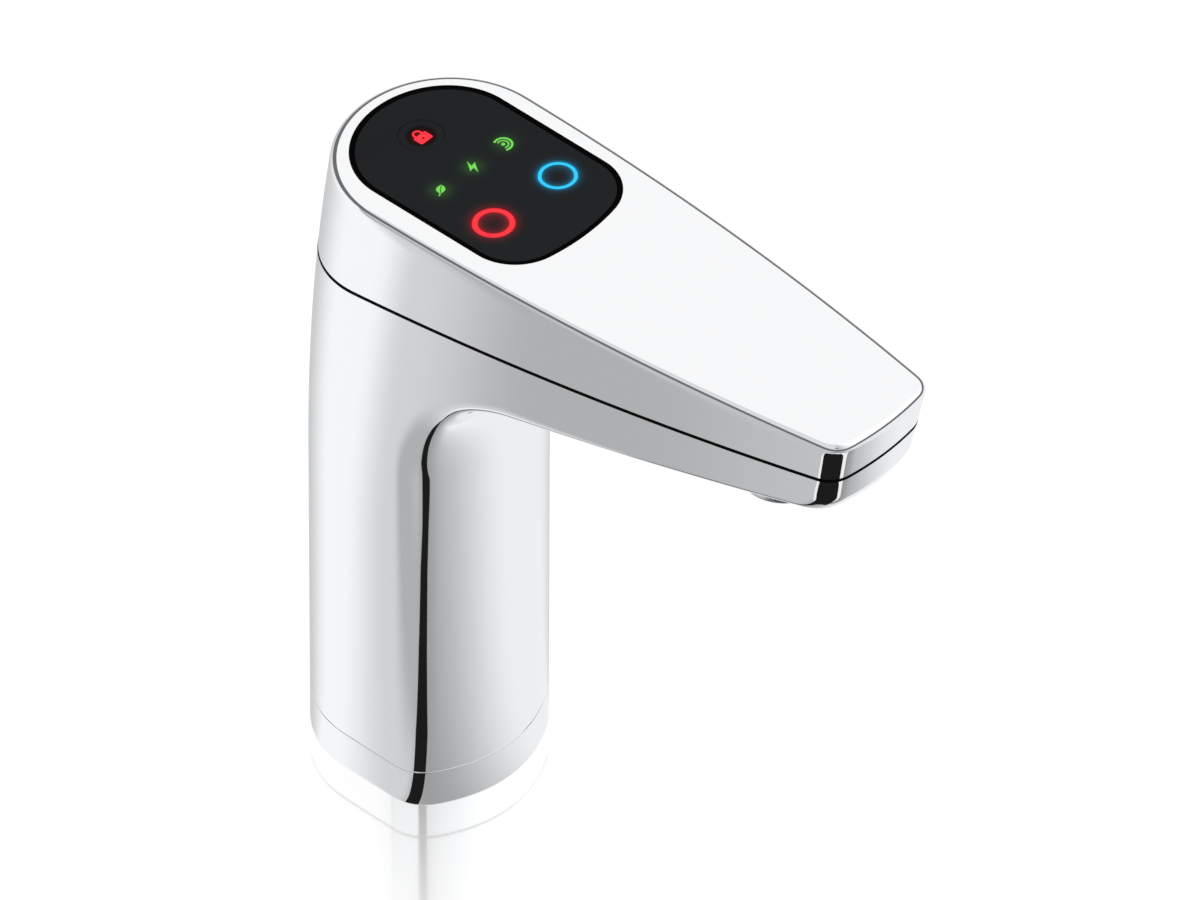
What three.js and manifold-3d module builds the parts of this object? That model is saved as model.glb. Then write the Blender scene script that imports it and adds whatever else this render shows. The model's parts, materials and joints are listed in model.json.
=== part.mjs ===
// Boiling water tap: a swivelling column with a wedge-shaped arm, a chrome cover over the arm,
// a control panel with three keys, and the water way, wiring and deck fixing inside it.
// Millimetres, +Z up. The origin is on the deck, on the axis that the tap swivels about.
// The spout points along -Y. "Reach" is the distance forward of the axis, so y = -reach.

import * as THREE from 'three';
import { mergeVertices } from 'three/addons/utils/BufferGeometryUtils.js';
import Module from 'manifold-3d';

const wasm = await Module();
wasm.setup();

// ---------------------------------------------------------------- driving dimensions

const deckThickness = 20;
const baseRingHeight = 11;
const swivelJointGap = 0.5;
const columnHalfWidth = 26;
const columnBackReach = -29.4;
const columnFrontReach = 19.6;
const columnFrontLean = 0.6;
const columnFrontBulge = 10.2;
const columnCornerRadius = 6;
const bendRadius = 42.6;
const undersideRise = 14.5;
const armBelly = 2.4;
const armEdgeRadius = 4.5;
const noseFootReach = 150.8;
const noseFootRadius = 9;
const noseLean = 11;
const noseBulge = 1.9;
const noseCornerRadius = 5;
const sideFlareRadius = 1930;
const backFlareRadius = 612;
const sideTaperRadius = 867;
const seamRise = 9.4;
const seamThickness = 0.7;
const seamInset = 0.15;
const topHeight = 200;
const topRise = 1.8;
const coverDepth = 33.8;
const throatDepth = 53.6;
const flareDepth = 20;
const topEdgeRadius = 2.6;
const shellWall = 2.2;
const coverTopWall = 2.4;
const fitGap = 0.3;
const runningGap = 0.15;
const solderGap = 0.05;
const beyond = 300;

const panelBackReach = -15.6;
const panelFrontReach = 55.3;
const panelHalfWidth = 23;
const panelCornerRadius = 14;
const panelFrontBulge = 4.5;
const panelRimWidth = 1.5;
const panelRimDepth = 0.35;
const keyRadius = 5.8;
const keyFlangeLip = 0.9;
const keyRimWidth = 0.6;
const keyDish = 0.5;
const keyTravel = 0.5;
const keyStemRadius = 1.6;
const boilingRingRadius = 4.65;
const boilingRingWidth = 1.4;
const chilledRingRadius = 4.5;
const chilledRingWidth = 0.9;
const lightRingDepth = 0.9;
const keySpacing = 11.6;
const lockReach = -0.2;
const statusReach = 17.2;
const keyReach = 35.1;

const outletReach = 122;
const outletRadius = 11.5;
const outletBore = 8.2;
const outletDrop = 8;
const outletStand = 5.5;
const tubeRadius = 4;
const cableRadius = 2.2;
const shankRadius = 12;
const shankBore = 9.6;
const shankLength = 62;
const spigotRadius = 15;
const spigotHeight = 58;

// ---------------------------------------------------------------- small helpers

const degrees = THREE.MathUtils.degToRad;
const lerp = THREE.MathUtils.lerp;
const seamSlope = Math.tan(degrees(seamRise));
const topSlope = Math.tan(degrees(topRise));
const seamHeight = topHeight - coverDepth;
const bendStartHeight = seamHeight - throatDepth;
const flareStartHeight = bendStartHeight - flareDepth;
const seamAt = (reach) => seamHeight + seamSlope * reach;
const topAt = (reach) => topHeight + topSlope * reach;
const point = (x, reach, z) => new THREE.Vector3(x, -reach, z);
const ease = (t) => t * t * (3 - 2 * t);

function steps(count) {
  return Array.from({ length: count + 1 }, (_, i) => i / count);
}

const smallestArea = 1e-5;
const mergeDistance = 1e-4;

// A closed solid from triangles, each a list of three corners.
function geometryOf(triangles) {
  const geometry = new THREE.BufferGeometry();
  const flat = new Float32Array(triangles.length * 9);
  triangles.flat().forEach((corner, i) => corner.toArray(flat, i * 3));
  geometry.setAttribute('position', new THREE.BufferAttribute(flat, 3));
  return geometry;
}

function quad(a, b, c, d) {
  return [[a, b, c], [a, c, d]].filter(
    ([p, q, r]) => new THREE.Triangle(p, q, r).getArea() > smallestArea,
  );
}

// The strip between two rows of points, facing right of the direction from row to row.
function strip(low, high, closed = true) {
  const last = closed ? low.length : low.length - 1;
  const faces = [];
  for (let i = 0; i < last; i += 1) {
    const j = (i + 1) % low.length;
    faces.push(...quad(low[i], low[j], high[j], high[i]));
  }
  return faces;
}

function cap(loop, facingUp) {
  const outline = loop.map((p) => new THREE.Vector2(p.x, p.y));
  const faces = THREE.ShapeUtils.triangulateShape(outline, []);
  return faces.map((f) => {
    const corners = f.map((i) => loop[i]);
    const normal = new THREE.Triangle(...corners).getNormal(new THREE.Vector3());
    return (normal.z > 0) === facingUp ? corners : corners.reverse();
  });
}

// A solid lofted through loops that run anticlockwise seen from above, from low to high.
function loft(loops) {
  const faces = [...cap(loops[0], false), ...cap(loops[loops.length - 1], true)];
  for (let i = 1; i < loops.length; i += 1) {
    faces.push(...strip(loops[i - 1], loops[i]));
  }
  return geometryOf(faces);
}

function solidOf(geometry) {
  const plain = geometry.index ? geometry.toNonIndexed() : geometry.clone();
  Object.keys(plain.attributes).filter((name) => name !== 'position')
    .forEach((name) => plain.deleteAttribute(name));
  const merged = mergeVertices(plain, mergeDistance);
  return new wasm.Manifold(new wasm.Mesh({
    numProp: 3,
    vertProperties: new Float32Array(merged.attributes.position.array),
    triVerts: new Uint32Array(merged.index.array),
  }));
}

function fromSolid(solid) {
  const mesh = solid.getMesh();
  const geometry = new THREE.BufferGeometry();
  geometry.setAttribute('position', new THREE.BufferAttribute(mesh.vertProperties, 3));
  geometry.setIndex(new THREE.BufferAttribute(mesh.triVerts, 1));
  return geometry;
}

function cut(geometry, ...tools) {
  return fromSolid(tools.reduce((solid, tool) => solid.subtract(solidOf(tool)), solidOf(geometry)));
}

function join(geometry, ...others) {
  return fromSolid(others.reduce((solid, other) => solid.add(solidOf(other)), solidOf(geometry)));
}

function common(geometry, other) {
  return fromSolid(solidOf(geometry).intersect(solidOf(other)));
}

// ---------------------------------------------------------------- outer form

// Half the width of the tap's side walls, which end at the back in a half circle.
// Above flareStartHeight the sides lean out and the back leans forward on large arcs.
function wallAt(z, inset = 0) {
  const flare = Math.max(0, z - flareStartHeight) ** 2 / 2;
  const width = columnHalfWidth + flare / sideFlareRadius;
  const apex = columnBackReach + flare / backFlareRadius;
  return { radius: width - inset, centre: apex + width, apex: apex + inset };
}

function halfWidthAt(reach, z, inset = 0) {
  const wall = wallAt(z, inset);
  if (reach < wall.centre) {
    return Math.sqrt(Math.max(0, wall.radius ** 2 - (reach - wall.centre) ** 2));
  }
  return wall.radius - (reach - wall.centre) ** 2 / (2 * sideTaperRadius);
}

// Where the column's front edge bends into the underside of the arm, and where that ends.
const frontTopReach = columnFrontReach + columnFrontLean;
const bendEnd = {
  reach: frontTopReach + bendRadius * (1 - Math.sin(degrees(undersideRise))),
  z: bendStartHeight + bendRadius * Math.cos(degrees(undersideRise)),
};
const undersideAt = (reach) => bendEnd.z + (reach - bendEnd.reach) * Math.tan(degrees(undersideRise));
const noseFootHeight = undersideAt(noseFootReach);
const noseAt = (z) => noseFootReach + (z - noseFootHeight) * Math.tan(degrees(noseLean));
const noseSeam = (() => {
  const lean = Math.tan(degrees(noseLean));
  const reach = (noseFootReach + lean * (seamHeight - noseFootHeight)) / (1 - lean * seamSlope);
  return { reach, z: seamAt(reach) };
})();

// How often a corner is solved for again where its own height moves it.
const solvingTurns = 20;

// Stations along the lower edge of the tap: up the column's front, round the bend, out along
// the underside, round the foot of the nose and up its face to the seam. "Facing" is the
// direction that the surface faces there, in degrees from straight forward, downwards.
const smallestRadius = 1;

function edgeStations(startHeight, inset) {
  const stations = [];
  const add = (reach, z, facing, bulge, radius, part) => {
    const away = degrees(facing);
    stations.push({
      reach: reach - inset * Math.cos(away),
      z: z + inset * Math.sin(away),
      facing: away, bulge, part,
      radius: Math.max(radius - inset, smallestRadius),
    });
  };
  for (const t of steps(3)) {
    const z = lerp(startHeight, bendStartHeight, t);
    add(columnFrontReach + columnFrontLean * z / bendStartHeight, z, 0,
      columnFrontBulge, columnCornerRadius, 'column');
  }
  const turn = 90 - undersideRise;
  for (const t of steps(12).slice(1)) {
    const angle = degrees(turn * t);
    add(frontTopReach + bendRadius * (1 - Math.cos(angle)),
      bendStartHeight + bendRadius * Math.sin(angle), turn * t,
      lerp(columnFrontBulge, armBelly, ease(t)),
      lerp(columnCornerRadius, armEdgeRadius, t), 'bend');
  }
  const footTurn = (turn - noseLean) / 2;
  const footSetback = noseFootRadius * Math.tan(degrees(footTurn));
  const footStart = {
    reach: noseFootReach - footSetback * Math.cos(degrees(undersideRise)),
    z: noseFootHeight - footSetback * Math.sin(degrees(undersideRise)),
  };
  for (const t of steps(5).slice(1)) {
    add(lerp(bendEnd.reach, footStart.reach, t), lerp(bendEnd.z, footStart.z, t), turn,
      armBelly, armEdgeRadius, 'arm');
  }
  const footCentre = {
    reach: footStart.reach - noseFootRadius * Math.cos(degrees(turn)),
    z: footStart.z + noseFootRadius * Math.sin(degrees(turn)),
  };
  for (const t of steps(3).slice(1)) {
    const facing = lerp(turn, noseLean, t);
    add(footCentre.reach + noseFootRadius * Math.cos(degrees(facing)),
      footCentre.z - noseFootRadius * Math.sin(degrees(facing)), facing,
      lerp(armBelly, noseBulge, t), lerp(armEdgeRadius, noseCornerRadius, t), 'nose');
  }
  add(noseSeam.reach, noseSeam.z, noseLean, noseBulge, noseCornerRadius, 'nose');
  return stations;
}

// The far end of each station's line across the side wall: on the back of the column up to
// the seam, then forward along the seam.
const backShare = 1 / 3;
const armLead = 8;

function wallEnds(stations, inset) {
  const seamBack = (() => {
    let reach = columnBackReach;
    for (let i = 0; i < solvingTurns; i += 1) {
      reach = wallAt(seamAt(reach), inset).apex;
    }
    return { reach, z: seamAt(reach) };
  })();
  const count = (part) => stations.filter((s) => s.part === part).length;
  const bends = count('bend');
  const risers = Math.round(bends * backShare);
  const armBack = stations.findLast((s) => s.part === 'bend').reach - armLead;
  const last = stations[stations.length - 1];
  const noseBack = last.reach - last.radius - armLead;
  const arms = count('arm') + count('nose');
  let index = -count('column');
  return stations.map(() => {
    index += 1;
    if (index <= 0) {
      return { z: stations[index + count('column') - 1].z, onApex: true };
    }
    if (index <= risers) {
      return { z: lerp(bendStartHeight, seamBack.z, index / risers), onApex: true };
    }
    const reach = index <= bends
      ? lerp(seamBack.reach, armBack, ((index - risers) / (bends - risers)) ** 2)
      : lerp(armBack, noseBack, (index - bends) / arms);
    return { reach, z: seamAt(reach), onApex: false };
  }).map((end) => (end.onApex ? { ...end, reach: wallAt(end.z, inset).apex } : end));
}

function resample(points, count) {
  const curve = new THREE.CurvePath();
  for (let i = 1; i < points.length; i += 1) {
    curve.add(new THREE.LineCurve3(points[i - 1], points[i]));
  }
  return curve.getSpacedPoints(count);
}

const bellyCount = 4;
const cornerCount = 3;
const wallCount = 10;
const sideCount = 22;
const fineCount = 120;

// Half of one section of the column or arm, from the middle of its front round the corner
// and across the side wall. The corner's middle point lies where the two sides' tangents meet.
function sectionPoints(station, end, inset) {
  const away = new THREE.Vector2(Math.cos(station.facing), -Math.sin(station.facing));
  const across = new THREE.Vector2(end.reach - station.reach, end.z - station.z);
  const length = across.length();
  across.normalize();
  const width = halfWidthAt(station.reach, station.z, inset);
  const onFront = (x) => {
    const out = station.bulge * (1 - (x / width) ** 2);
    return point(x, station.reach + away.x * out, station.z + away.y * out);
  };
  const onWall = (distance) => {
    const reach = station.reach + across.x * distance;
    const z = station.z + across.y * distance;
    return point(halfWidthAt(reach, z, inset), reach, z);
  };
  const radius = station.radius;
  const lift = station.bulge * (radius / width) ** 2;
  const tip = point(width, station.reach + away.x * lift, station.z + away.y * lift);
  const corner = new THREE.QuadraticBezierCurve3(onFront(width - radius), tip, onWall(radius));
  const front = steps(bellyCount).slice(0, -1).map((t) => onFront((width - radius) * t));
  const fine = steps(fineCount).map((t) => onWall(lerp(radius, length, Math.sin(t * Math.PI / 2))));
  const wall = resample(fine, wallCount);
  if (end.onApex) {
    wall[wallCount].x = 0;
  }
  return [...front, ...corner.getPoints(cornerCount).slice(0, -1), ...wall];
}

function skin(startHeight, inset) {
  const stations = edgeStations(startHeight, inset);
  const ends = wallEnds(stations, inset);
  const rows = stations.map((station, i) => sectionPoints(station, ends[i], inset));
  rows[rows.length - 1].forEach((p) => {
    p.z = seamAt(-p.y);
  });
  const rimStart = ends.findLastIndex((end) => end.onApex);
  return { rows, rimStart };
}

const mirrored = (p) => new THREE.Vector3(-p.x, p.y, p.z);

function rimOf({ rows, rimStart }) {
  const side = rows.slice(rimStart).map((row) => row[row.length - 1]);
  return [...side, ...rows[rows.length - 1].slice(0, -1).reverse()];
}

// Both halves of an open-topped, open-footed shell between an outer and an inner skin.
function shellBetween(outer, inner) {
  const half = [];
  for (let p = 1; p < outer.rows.length; p += 1) {
    half.push(...strip(outer.rows[p - 1], outer.rows[p], false));
    half.push(...strip(inner.rows[p], inner.rows[p - 1], false));
  }
  half.push(...strip(inner.rows[0], outer.rows[0], false));
  half.push(...strip(rimOf(inner), rimOf(outer), false));
  return geometryOf([...half, ...half.map((face) => face.map(mirrored).reverse())]);
}

// A closed loop round the tap on the surface z = heightAt(reach), drawn in by inset.
function planLoop(heightAt, inset) {
  let corner = noseFootReach;
  let apex = columnBackReach;
  for (let i = 0; i < solvingTurns; i += 1) {
    corner = noseAt(heightAt(corner)) - inset;
    apex = wallAt(heightAt(apex), inset).apex;
  }
  const width = halfWidthAt(corner, heightAt(corner), inset);
  const radius = Math.max(noseCornerRadius - inset, smallestRadius);
  const onFront = (x) => {
    const reach = corner + noseBulge * (1 - (x / width) ** 2);
    return point(x, reach, heightAt(reach));
  };
  const onSide = (reach) => point(
    halfWidthAt(reach, heightAt(reach), inset), reach, heightAt(reach),
  );
  const tipReach = corner + noseBulge * (radius / width) ** 2;
  const turn = new THREE.QuadraticBezierCurve3(
    onFront(width - radius), point(width, tipReach, heightAt(tipReach)), onSide(corner - radius),
  );
  const front = steps(bellyCount).slice(0, -1).map((t) => onFront((width - radius) * t));
  const fine = steps(fineCount).map((t) => onSide(lerp(corner - radius, apex, Math.sin(t * Math.PI / 2))));
  const half = [...front, ...turn.getPoints(cornerCount).slice(0, -1), ...resample(fine, sideCount)];
  half[half.length - 1].x = 0;
  return [...half, ...half.slice(1, -1).reverse().map(mirrored)];
}

// A closed loop round the column at one height.
function columnLoop(z, inset) {
  const front = {
    reach: columnFrontReach + columnFrontLean * z / bendStartHeight - inset,
    z, facing: 0, bulge: columnFrontBulge, radius: columnCornerRadius - inset,
  };
  const back = { reach: wallAt(z, inset).apex, z, onApex: true };
  const half = sectionPoints(front, back, inset);
  return [...half, ...half.slice(1, -1).reverse().map(mirrored)];
}

function walls(outer, inner) {
  const faces = [];
  for (let i = 1; i < outer.length; i += 1) {
    faces.push(...strip(outer[i - 1], outer[i]));
  }
  for (let i = 1; i < inner.length; i += 1) {
    faces.push(...strip(inner[i], inner[i - 1]));
  }
  faces.push(...strip(inner[0], outer[0]));
  return faces;
}

function openRing(outer, inner) {
  return geometryOf([...walls(outer, inner), ...strip(outer.at(-1), inner.at(-1))]);
}

function lid(outer, inner) {
  return geometryOf([...walls(outer, inner), ...cap(outer.at(-1), true), ...cap(inner.at(-1), false)]);
}

// The space inside the body, drawn in by inset, as a solid that closes at the seam.
function cavity(inset) {
  const { rows, rimStart } = skin(baseRingHeight + swivelJointGap, inset);
  const half = [];
  for (let p = 1; p < rows.length; p += 1) {
    half.push(...strip(rows[p - 1], rows[p], false));
  }
  const faces = [...half, ...half.map((face) => face.map(mirrored).reverse())];
  const closeLoop = (side) => [...side, ...side.slice(1, -1).reverse().map(mirrored)];
  const rim = rimOf({ rows, rimStart }).reverse();
  return geometryOf([...faces, ...cap(closeLoop(rows[0]), false), ...cap(closeLoop(rim), true)]);
}

// ---------------------------------------------------------------- simple solids

const plainSides = 28;
const fineSides = 32;
const smallSides = 10;

function turned(profile, segments = plainSides) {
  const points = profile.map(([r, z]) => new THREE.Vector2(r, z));
  return new THREE.LatheGeometry(points, segments).rotateX(Math.PI / 2);
}

function rod(radius, low, high, segments = plainSides) {
  return turned([[0, low], [radius, low], [radius, high], [0, high]], segments);
}

function ring(outer, inner, low, high, segments = plainSides) {
  return turned([[inner, low], [outer, low], [outer, high], [inner, high], [inner, low]], segments);
}

function block(width, depth, low, high) {
  return new THREE.BoxGeometry(width, depth, high - low).translate(0, 0, (low + high) / 2);
}

function prism(shape, low, high, curveSegments = 9) {
  return new THREE.ExtrudeGeometry(shape, {
    depth: high - low, bevelEnabled: false, curveSegments,
  }).translate(0, 0, low);
}

function tube(points, radius, stepCount, sides = 8) {
  const section = new THREE.Shape().absarc(0, 0, radius, 0, 2 * Math.PI);
  return new THREE.ExtrudeGeometry(section, {
    steps: stepCount, curveSegments: sides / 2, bevelEnabled: false,
    extrudePath: new THREE.CatmullRomCurve3(points),
  });
}

function at(geometry, x, reach) {
  return geometry.translate(x, -reach, 0);
}

function circle([x, reach], radius) {
  return new THREE.Path().absarc(x, -reach, radius, 0, 2 * Math.PI, true);
}

function withHoles(shape, places, radius) {
  shape.holes.push(...places.map((place) => circle(place, radius)));
  return shape;
}

const metal = (color, roughness) => new THREE.MeshStandardMaterial({ color, roughness, metalness: 1 });
const plastic = (color, roughness) => new THREE.MeshStandardMaterial({ color, roughness, metalness: 0 });
const glowing = (color) => new THREE.MeshStandardMaterial({ color, emissive: color, roughness: 0.4 });

function piece(parent, name, geometry, material) {
  const mesh = new THREE.Mesh(geometry, material);
  mesh.name = name;
  parent.add(mesh);
  return mesh;
}

const chrome = () => metal('#d9dbdd', 0.08);
const steel = () => metal('#a9abad', 0.35);
const brass = () => metal('#b8974c', 0.35);
const rubber = () => plastic('#141414', 0.85);
const blackPlastic = () => plastic('#1b1c1d', 0.5);
const bearingPlastic = () => plastic('#e9e6dc', 0.6);
const tubePlastic = () => plastic('#d7d9da', 0.4);

const tap = new THREE.Group();
const base = new THREE.Group();
const spout = new THREE.Group();
const panel = new THREE.Group();
tap.add(base, spout);
spout.add(panel);

// The panel's own frame lies in the top face: its z is measured from that face.
panel.position.z = topHeight;
panel.rotation.x = -degrees(topRise);
panel.updateMatrix();
const inPanel = (geometry) => geometry.applyMatrix4(panel.matrix);

// ---------------------------------------------------------------- deck fixing and swivel

const flangeRadius = 19;
const flangeThickness = 5;
const gasketInner = 20.4;
const gasketOuter = 23;
const gasketThickness = 1.2;
const bushWall = 1.85;
const bushLength = 8;
const sleeveWall = 2.4;
const sleeveFoot = 4;
const ringGroove = 0.9;
const baseRingChamfer = 0.4;
const frictionRingHeight = 33;
const frictionRingRadius = 1.25;
const circlipThickness = 1.4;
const circlipLip = 1;
const washerRadius = 24;
const rubberWasherThickness = 3.5;
const clampWasherThickness = 2.5;
const nutAcross = 30;
const nutHeight = 11;
const nutSides = 6;

const bodyFoot = baseRingHeight + swivelJointGap;
const sleeveBore = spigotRadius + runningGap + bushWall + runningGap;
const sleeveLow = bodyFoot + swivelJointGap;
const circlipLow = spigotHeight - 2 * circlipThickness;
const sleeveTop = circlipLow - fitGap;

function buildBaseRing() {
  const body = loft([
    columnLoop(0, 0),
    columnLoop(baseRingHeight - baseRingChamfer, 0),
    columnLoop(baseRingHeight, baseRingChamfer),
  ]);
  const flangeSeat = rod(flangeRadius + fitGap, -beyond, flangeThickness + fitGap);
  const bore = rod(spigotRadius + fitGap, -beyond, beyond);
  const groove = ring(gasketOuter + runningGap, gasketInner - runningGap,
    -beyond, gasketThickness + runningGap);
  return cut(body, flangeSeat, bore, groove);
}

function buildShank() {
  const grooveLow = frictionRingHeight - frictionRingRadius - runningGap;
  const grooveHigh = frictionRingHeight + frictionRingRadius + runningGap;
  const grooved = spigotRadius - ringGroove;
  return turned([
    [shankBore, -shankLength], [shankRadius, -shankLength], [shankRadius, 0],
    [flangeRadius, 0], [flangeRadius, flangeThickness], [spigotRadius, flangeThickness],
    [spigotRadius, grooveLow], [grooved, grooveLow], [grooved, grooveHigh], [spigotRadius, grooveHigh],
    [spigotRadius, circlipLow - runningGap], [grooved, circlipLow - runningGap],
    [grooved, circlipLow + circlipThickness + runningGap],
    [spigotRadius, circlipLow + circlipThickness + runningGap],
    [spigotRadius, spigotHeight], [shankBore, spigotHeight], [shankBore, -shankLength],
  ]);
}

function buildFrictionRing() {
  const middle = spigotRadius - ringGroove + runningGap + frictionRingRadius;
  const circle = steps(8).map((t) => [
    middle + frictionRingRadius * Math.cos(2 * Math.PI * t),
    frictionRingHeight + frictionRingRadius * Math.sin(2 * Math.PI * t),
  ]);
  return turned(circle);
}

function buildSleeve() {
  const foot = loft([
    columnLoop(sleeveLow, shellWall + fitGap),
    columnLoop(sleeveLow + sleeveFoot, shellWall + fitGap),
  ]);
  const barrel = rod(sleeveBore + sleeveWall, sleeveLow + sleeveFoot / 2, sleeveTop, fineSides);
  return cut(join(foot, barrel), rod(sleeveBore, -beyond, beyond, fineSides));
}

function buildBush(low) {
  return ring(sleeveBore - runningGap, spigotRadius + runningGap, low, low + bushLength, fineSides);
}

function buildNut(top) {
  const corner = nutAcross / 2 / Math.cos(Math.PI / nutSides);
  const corners = steps(nutSides).slice(1).map((t) => new THREE.Vector2(
    corner * Math.cos(2 * Math.PI * t),
    corner * Math.sin(2 * Math.PI * t),
  ));
  const hexagon = withHoles(new THREE.Shape(corners), [[0, 0]], shankRadius + runningGap);
  return prism(hexagon, top - nutHeight, top, 20);
}

const rubberTop = -deckThickness;
const clampTop = rubberTop - rubberWasherThickness - runningGap;
const nutTop = clampTop - clampWasherThickness - runningGap;

piece(base, 'base_ring', buildBaseRing(), chrome());
piece(base, 'deck_gasket', ring(gasketOuter, gasketInner, 0, gasketThickness), rubber());
piece(base, 'mounting_shank', buildShank(), brass());
piece(base, 'friction_ring', buildFrictionRing(), rubber());
piece(base, 'retaining_clip', ring(sleeveBore + circlipLip, spigotRadius - ringGroove + runningGap,
  circlipLow, circlipLow + circlipThickness), steel());
piece(base, 'rubber_washer', ring(washerRadius, shankRadius + fitGap,
  rubberTop - rubberWasherThickness, rubberTop), rubber());
piece(base, 'clamp_washer', ring(washerRadius, shankRadius + fitGap,
  clampTop - clampWasherThickness, clampTop), steel());
piece(base, 'fixing_nut', buildNut(nutTop), brass());

piece(spout, 'swivel_sleeve', buildSleeve(), blackPlastic());
piece(spout, 'lower_bush', buildBush(sleeveLow + runningGap), bearingPlastic());
piece(spout, 'upper_bush', buildBush(sleeveTop - bushLength - runningGap),
  bearingPlastic());

// ---------------------------------------------------------------- panel outline and window

// The panel's outline: a half ellipse at the back and a bowed front between rounded corners.
// Every curve keeps its centre, so an inset outline is parallel to the full one.
const panelBackDepth = 21;
const frontBowRadius = (panelHalfWidth ** 2 + panelFrontBulge ** 2) / (2 * panelFrontBulge);

function arc(middle, rx, ry, from, to, count) {
  return steps(count).map((t) => {
    const angle = lerp(from, to, t);
    return new THREE.Vector2(middle.x + rx * Math.cos(angle), middle.y + ry * Math.sin(angle));
  });
}

function panelPoints(inset) {
  const back = { x: 0, y: -(panelBackReach + panelBackDepth) };
  const bow = { x: 0, y: -(panelFrontReach - frontBowRadius) };
  const side = panelHalfWidth - panelCornerRadius;
  const corner = {
    x: side, y: bow.y - Math.sqrt((frontBowRadius - panelCornerRadius) ** 2 - side ** 2),
  };
  const lean = Math.atan2(bow.y - corner.y, side);
  const radius = panelCornerRadius - inset;
  const width = panelHalfWidth - inset;
  const bowed = frontBowRadius - inset;
  return [
    ...arc(back, width, panelBackDepth - inset, 0, Math.PI, 20),
    ...arc({ x: -side, y: corner.y }, radius, radius, Math.PI, Math.PI + lean, 6),
    ...arc(bow, bowed, bowed, Math.PI + lean, 2 * Math.PI - lean, 6).slice(1),
    ...arc(corner, radius, radius, -lean, 0, 6).slice(1),
  ];
}

const panelOutline = (inset) => new THREE.Shape(panelPoints(inset));

const rebateDepth = 1.7;
const ledgeWidth = 3.2;
const fasciaLow = -1.6;
const fasciaHigh = -0.1;
const coverChamfer = 1;

const nozzleLow = undersideAt(outletReach) - outletDrop;
const nozzleHigh = undersideAt(outletReach) + outletStand;
const outletSides = 36;

function buildCover() {
  const bottom = (reach) => seamAt(reach) + seamThickness;
  const outer = [planLoop(bottom, 0)];
  outer.push(planLoop((reach) => lerp(bottom(reach), topAt(reach) - topEdgeRadius, 0.5), 0));
  for (const t of steps(4)) {
    const angle = t * Math.PI / 2;
    outer.push(planLoop(
      (reach) => topAt(reach) - topEdgeRadius * (1 - Math.sin(angle)),
      topEdgeRadius * (1 - Math.cos(angle)),
    ));
  }
  const inner = [
    planLoop(bottom, shellWall),
    planLoop((reach) => topAt(reach) - coverTopWall - coverChamfer, shellWall),
    planLoop((reach) => topAt(reach) - coverTopWall, shellWall + coverChamfer),
  ];
  return cut(
    lid(outer, inner),
    inPanel(prism(panelOutline(0), -rebateDepth, beyond)),
    inPanel(prism(panelOutline(ledgeWidth), -beyond, beyond)),
  );
}

function buildSeamGasket() {
  const low = (reach) => seamAt(reach) + runningGap / 2;
  const high = (reach) => seamAt(reach) + seamThickness - runningGap / 2;
  return openRing(
    [planLoop(low, seamInset), planLoop(high, seamInset)],
    [planLoop(low, shellWall), planLoop(high, shellWall)],
  );
}

function buildBody() {
  const shell = shellBetween(skin(bodyFoot, 0), skin(bodyFoot, shellWall));
  return cut(shell, at(rod(outletRadius + fitGap, nozzleLow, nozzleHigh, outletSides), 0, outletReach));
}

piece(spout, 'body_shell', buildBody(), chrome());
piece(spout, 'top_cover', buildCover(), chrome());
piece(spout, 'seam_gasket', buildSeamGasket(), rubber());

// ---------------------------------------------------------------- control panel

const keyPlaces = {
  lock: [0, lockReach],
  boiling: [-keySpacing, keyReach],
  chilled: [keySpacing, keyReach],
};
const statusPlaces = { leaf: -keySpacing, bolt: 0, signal: keySpacing };

const keyFlangeRadius = keyRadius + keyFlangeLip;
const keyFlangeThickness = 0.8;
const keySides = 24;
const keyFlangeHigh = fasciaLow - runningGap;
const keyFlangeLow = keyFlangeHigh - keyFlangeThickness;
const housingFlangeHigh = -coverTopWall - runningGap;
const housingFlangeThickness = 1.5;
const housingFlangeLow = housingFlangeHigh - housingFlangeThickness;
const housingFlangeInset = 0.8;
const boardInset = 1.7;
const boardHigh = -9.6;
const boardThickness = 1.6;
const boardLow = boardHigh - boardThickness;
const housingLow = boardHigh + runningGap;
const switchSide = 6;
const switchHeight = 2.4;
const ledWidth = 2;
const ledDepth = 1.6;
const ledHeight = 0.9;
const guideRadius = 1.9;
const backScrewSpacing = 15;
const backScrewReach = -2.5;
const frontScrewSpacing = 17.5;
const frontScrewReach = 27;
const screwPlaces = [
  [-backScrewSpacing, backScrewReach],
  [backScrewSpacing, backScrewReach],
  [-frontScrewSpacing, frontScrewReach],
  [frontScrewSpacing, frontScrewReach],
];
const screwRadius = 1;
const screwHeadRadius = 1.9;
const screwHeadHeight = 1.3;
const screwLength = 6;
const screwSides = 8;

const keyCentres = Object.values(keyPlaces);
const statusCentres = Object.values(statusPlaces).map((x) => [x, statusReach]);

function buildFascia() {
  const shape = panelOutline(panelRimWidth + runningGap);
  return prism(withHoles(shape, keyCentres, keyRadius + runningGap), fasciaLow, fasciaHigh);
}

function buildFasciaSeal() {
  const shape = panelOutline(runningGap / 2);
  shape.holes.push(new THREE.Path(panelPoints(panelRimWidth)));
  return prism(shape, -rebateDepth + runningGap / 2, -panelRimDepth);
}

function buildHousing() {
  const flange = prism(panelOutline(housingFlangeInset), housingFlangeLow, housingFlangeHigh);
  const core = prism(panelOutline(ledgeWidth + fitGap), housingLow, fasciaLow - runningGap);
  const wells = (places, radius, sides) => places.map(
    (place) => at(rod(radius, -beyond, beyond, sides), ...place),
  );
  return cut(
    join(core, flange),
    ...wells(keyCentres, keyFlangeRadius + fitGap, 16),
    ...wells(statusCentres, guideRadius + fitGap, smallSides),
    ...wells(screwPlaces, screwRadius + runningGap, screwSides),
  );
}

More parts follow.
